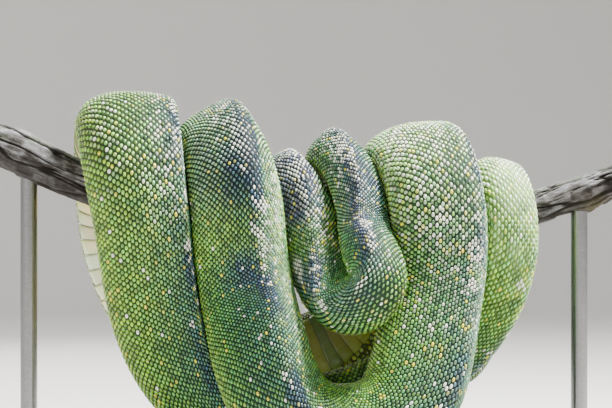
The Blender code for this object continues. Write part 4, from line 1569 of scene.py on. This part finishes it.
# the eyes: a glossy ball with a pale iris and an upright slit
eyeLook = {
    "rings": 30,
    "segments": 48,
    "covered": 0.72,  # of the ball from its front, the rest closes to a point
    "fill": 0.985,  # of the socket's radius
    "looks": (-0.22, 0.10),  # a little forward and up
    "pupil": (0.13, 0.52),
    "iris": (
        (0.00, (0.070, 0.068, 0.030)),
        (0.45, (0.130, 0.125, 0.060)),
        (0.80, (0.200, 0.190, 0.105)),
        (1.00, (0.080, 0.075, 0.040)),
    ),
    "irisWidth": 0.86,  # share of the ball's radius
    "streak": (0.110, 0.105, 0.070),
    "rim": (0.020, 0.022, 0.018),
    "black": (0.004, 0.004, 0.005),
}


def makeEyeMaterial():
    look = Finish("pythonEye", 0.16, 0.55)
    look.set("Coat Weight", 0.6)
    look.set("Coat Roughness", 0.03)
    across, up, away = look.numbers("eyeSpot")
    wide, tall = eyeLook["pupil"]
    slit = abs(across / wide) ** 2.0 + abs(up / tall) ** 2.6
    pupil = ((1.10 - slit) * 8.0).clamped()
    speckle = look.noise(look.stretched(look.place("eyeSpot"), (1.0, 1.0, 0.2)), 16.0, 4.0, 0.7)
    colour = look.ramp((away + (speckle - 0.5) * 0.9).clamped(), eyeLook["iris"])
    streak = (1.0 - abs(up) * 3.2).clamped()
    colour = look.mix(streak * 0.45, colour, eyeLook["streak"])
    colour = look.mix(((away - eyeLook["irisWidth"]) * 9.0).clamped(), colour, eyeLook["rim"])
    look.set("Base Color", look.mix(pupil, colour, eyeLook["black"]))
    return look.material


def makeEyes():
    material = makeEyeMaterial()
    rings, segments = eyeLook["rings"], eyeLook["segments"]
    radius = head["eyeRadius"] * eyeLook["fill"]
    forward, upward = eyeLook["looks"]
    for side, name in ((1, "left"), (-1, "right")):
        centre, outWay, alongWay, above = eyePlace(side)
        outWay = unit(outWay + forward * alongWay + upward * above)
        alongWay = unit(level(alongWay, outWay))
        upWay = np.cross(outWay, alongWay)
        upWay = upWay if upWay @ above > 0 else -upWay
        verts, spots = [], []
        for ring in range(1, rings + 1):
            tip = math.pi * eyeLook["covered"] * ring / rings
            away = min(math.sin(min(tip, math.pi / 2)) / eyeLook["irisWidth"], 1.2)
            for k in range(segments):
                turn = 2 * math.pi * k / segments
                a, b = math.sin(tip) * math.cos(turn), math.sin(tip) * math.sin(turn)
                verts.append(centre + radius * (math.cos(tip) * outWay + a * alongWay + b * upWay))
                spots.append((a, b, away))
        verts += [centre + outWay * radius, centre - outWay * head["eyeRadius"] * 0.6]
        spots += [(0, 0, 0), (0, 0, 1.2)]
        handed = 1 if np.cross(alongWay, upWay) @ outWay > 0 else -1
        faces = tubeFaces(rings, segments)[:, ::handed]
        piece = addPiece(f"pythonEye_{name}", verts, faces, material)
        addValues(piece, eyeSpot=spots)
        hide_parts(f"eye_{name}")


makeEyes()
print("eyes made")

bark = {
    "rows": 540,
    "sides": 150,
    "short": 0.1,  # mm, at each end
    "sunk": 0.30,  # mm under the solid's surface
    "oval": (0.03, 40),  # how far from round, and how fast that turns along the branch
    "grooves": 64,
    "fissure": 1.35,  # mm
    "fibre": 0.42,
    "flake": 0.55,
    # length along the branch (m), and grooves across
    "warpSize": (0.017, 5),
    "crackSize": (0.019, 2.7),
    "fineSize": (0.008, 1.25),
    "hairSize": (0.0032, 1.6),
    "flakeSize": (0.0075, 3.4),
    "around": 0.008,  # m of pattern to a radian
    "fullKnot": 0.003,  # height of a knot that shows fully
    "edge": (0.8, 0.35),  # length and depth of the worn edge at the cut ends, mm
    "endRings": (0.985, 0.85, 0.70, 0.55, 0.40, 0.25, 0.12),
    "sawnDeep": (0.12, 0.05, 0.25),  # mm: over the whole cut, its waves, and more towards the middle
    "hubDeep": 0.35,
    "colours": (
        (0.10, (0.003, 0.002, 0.002)),
        (0.36, (0.014, 0.011, 0.009)),
        (0.56, (0.040, 0.035, 0.030)),
        (0.76, (0.105, 0.100, 0.100)),
        (1.00, (0.240, 0.240, 0.260)),
    ),
    "under": (0.016, 0.012, 0.008),
    "lichen": (0.110, 0.180, 0.100),
    "rot": (0.040, 0.032, 0.010),
    "ring": (0.160, 0.100, 0.055),
    "wood": (0.340, 0.240, 0.140),
}


def ridged(u, v, seed):
    return 1 - np.abs(2 * softNoise(u, v, seed) - 1)


def barkRelief(atX, atTurn):  # how deep the surface lies in mm, and how high it counts for the colour
    turns = atTurn / (2 * math.pi) * bark["grooves"]

    def relief(make, name, seed, ahead=0.0, across=0.0):
        long, wide = bark[name]
        return make(atX / long + ahead, turns / wide + across, seed)

    warp = 1.6 * relief(softNoise, "warpSize", 12, 9)
    deep = relief(ridged, "crackSize", 13, warp * 0.1, warp)
    fine = (1 - relief(ridged, "fineSize", 14, 31, warp * 1.5)) ** 2
    hair = 1 - relief(softNoise, "hairSize", 15, 0, warp * 2)
    flake = relief(softNoise, "flakeSize", 16, 5, warp + 3)
    scab = np.clip((flake - 0.50) / 0.10, 0, 1)
    crack = np.clip((deep - 0.76) / 0.22, 0, 1) ** 1.1
    lower = crack * bark["fissure"] + fine * bark["fibre"] + hair * bark["fibre"] * 0.8
    # cracks, fibres and hair lines darken the colour: partly the bark's own darker fissures, partly painted
    # shade
    high = 1 - np.clip(crack * 0.85 + fine * 0.30 + hair * 0.30 + scab * 0.18, 0, 1)
    return lower + scab * bark["flake"], high


def makeBarkMaterial():
    look = Finish("branchBark", 0.8, 0.3)
    where, height = look.place("barkPlace"), look.number("barkHigh")
    upward, knotty, _ = look.numbers("barkFace")
    grain = look.noise(where, 420.0, 5.0, 0.7)
    fibres = look.noise(look.stretched(where, (0.12, 1.0, 1.0)), 2400.0, 4.0, 0.7)
    patchy = (look.noise(where, 110.0, 4.0, 0.65) - 0.5) * 1.6
    # lighter on raised bark and near black in the cracks, partly as painted highlight and painted shade
    light = (height + (grain - 0.5) * 0.70 + (fibres - 0.5)).clamped()
    colour = look.ramp(light, bark["colours"])
    # painted shade: darker, patchily, on the branch's underside
    shaded = ((patchy - upward + 0.15) * 1.1).clamped()
    colour = look.mix(shaded * 0.80, colour, bark["under"])
    grown = (patchy + upward * 0.45 - 0.35).clamped() * light
    colour = look.mix((grown * 1.6).clamped(), colour, bark["lichen"])
    rotten = ((knotty + patchy * 0.5) * 1.2).clamped()
    colour = look.mix(rotten * knotty * 0.85, colour, bark["rot"])
    rings = look.mix(height, bark["ring"], bark["wood"])
    look.set("Base Color", look.mix(look.number("barkCut"), colour, rings))
    look.bump(fibres, 0.7, 0.0006)
    return look.material


def sawnEnd(ring, way, angle):  # rings in the wood from the rim inwards, and the point in their middle
    middle = ring.mean(axis=0)
    sunk, wave, dish = (depth * mm for depth in bark["sawnDeep"])
    share = np.array(bark["endRings"])[:, None] + 0 * angle
    inward = sunk + wave * np.sin(share * 60) + dish * (1 - share)
    points = middle + (ring - middle) * share[:, :, None] - inward[:, :, None] * way
    high = 0.5 + 0.3 * np.sin(share * 45)
    nothing = 0 * share
    around = nothing + 0.002 * np.cos(angle), nothing + 0.002 * np.sin(angle)
    values = np.stack([share * 0.01, *around, high, nothing + 1, nothing, nothing, nothing], axis=2)
    hub = [*(middle - bark["hubDeep"] * mm * way), 0, 0, 0, 0.2, 1, 0, 0, 0]
    return np.concatenate([points, values], axis=2), hub


def makeBranch():
    rows, sides = bark["rows"], bark["sides"]
    half = perch["halfLength"] - bark["short"] * mm
    x = np.linspace(-half, half, rows)
    axis = perchAxis(x)
    along = unit(np.gradient(axis, axis=0))
    side = unit(np.cross([0, 0, 1], along))
    up = np.cross(along, side)
    angle = np.linspace(0, 2 * math.pi, sides, endpoint=False)
    atX, atTurn = np.meshgrid(x, angle, indexing="ij")
    oval, twist = bark["oval"]
    radius = perchRadius(atX) * (1 + oval * np.sin(3 * atTurn + twist * atX))
    knots = np.zeros_like(atX)
    for at, turn, height, spread in perch["knots"]:
        away = (atTurn - turn + math.pi) % (2 * math.pi) - math.pi
        swell = np.exp(-((atX - at) ** 2 + (away * radius) ** 2) / spread**2)
        radius = radius + height * swell
        knots = np.maximum(knots, swell * min(height / bark["fullKnot"], 1))
    lower, high = barkRelief(atX, atTurn)
    edgeLong, edgeDeep = bark["edge"]
    sawn = np.clip((np.abs(atX) - half + edgeLong * mm) / (edgeLong * mm), 0, 1)
    radius = radius - (bark["sunk"] + lower) * mm - edgeDeep * mm * sawn**2
    outward = np.cos(atTurn)[:, :, None] * side[:, None, :] + np.sin(atTurn)[:, :, None] * up[:, None, :]
    points = axis[:, None, :] + radius[:, :, None] * outward
    nothing = 0 * atX
    places = [atX, atTurn * bark["around"], nothing]
    values = np.stack([*places, high, nothing, np.sin(atTurn), knots, nothing], axis=2)
    start, startHub = sawnEnd(points[0], -along[0], angle)
    end, endHub = sawnEnd(points[-1], along[-1], angle)
    rings = np.concatenate([start[::-1], np.concatenate([points, values], axis=2), end])
    table = np.concatenate([rings.reshape(-1, rings.shape[2]), [startHub, endHub]])
    faces = tubeFaces(len(rings), sides)
    piece = addPiece("perchBark", table[:, :3], faces, makeBarkMaterial())
    addValues(piece, barkPlace=table[:, 3:6], barkFace=table[:, 8:])
    addValues(piece, barkHigh=table[:, 6], barkCut=table[:, 7])
    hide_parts("perch_branch")
    print("branch made:", len(faces), "faces")


makeBranch()

stand = {
    "board": ((0.30, (0.016, 0.013, 0.011)), (0.55, (0.036, 0.031, 0.027)), (0.75, (0.062, 0.052, 0.044))),
    "steel": ((0.25, (0.190, 0.190, 0.195)), (0.75, (0.300, 0.300, 0.300))),
}


def giveMaterial(name, material):
    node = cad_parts[name]
    node.data.materials.clear()
    node.data.materials.append(material)


def makeStand():  # on the solids themselves
    look = Finish("boardStain", 0.35)
    where = look.stretched(look.node("TexCoord", {}, "Object"), (0.10, 1.0, 1.0))
    wide = look.noise(where, 260.0, 4.0, 0.6, 0.4)
    fine = look.noise(where, 2200.0)
    grain = wide * 0.7 + fine * 0.3
    look.set("Base Color", look.ramp(grain, stand["board"]))
    look.set("Roughness", fine * 0.22 + 0.26)
    look.bump(grain, 0.2, 0.0002)
    giveMaterial("stand_base", look.material)
    look = Finish("brushedSteel", 0.32)
    look.set("Metallic", 1.0)
    where = look.stretched(look.node("TexCoord", {}, "Object"), (0.15, 0.15, 1.0))
    lines = look.noise(where, 4200.0, 3.0, 0.6)
    look.set("Base Color", look.ramp(lines, stand["steel"]))
    look.set("Roughness", lines * 0.20 + 0.24)
    giveMaterial("stand_rod_left", look.material)
    giveMaterial("stand_rod_right", look.material)


makeStand()
print("stand dressed")
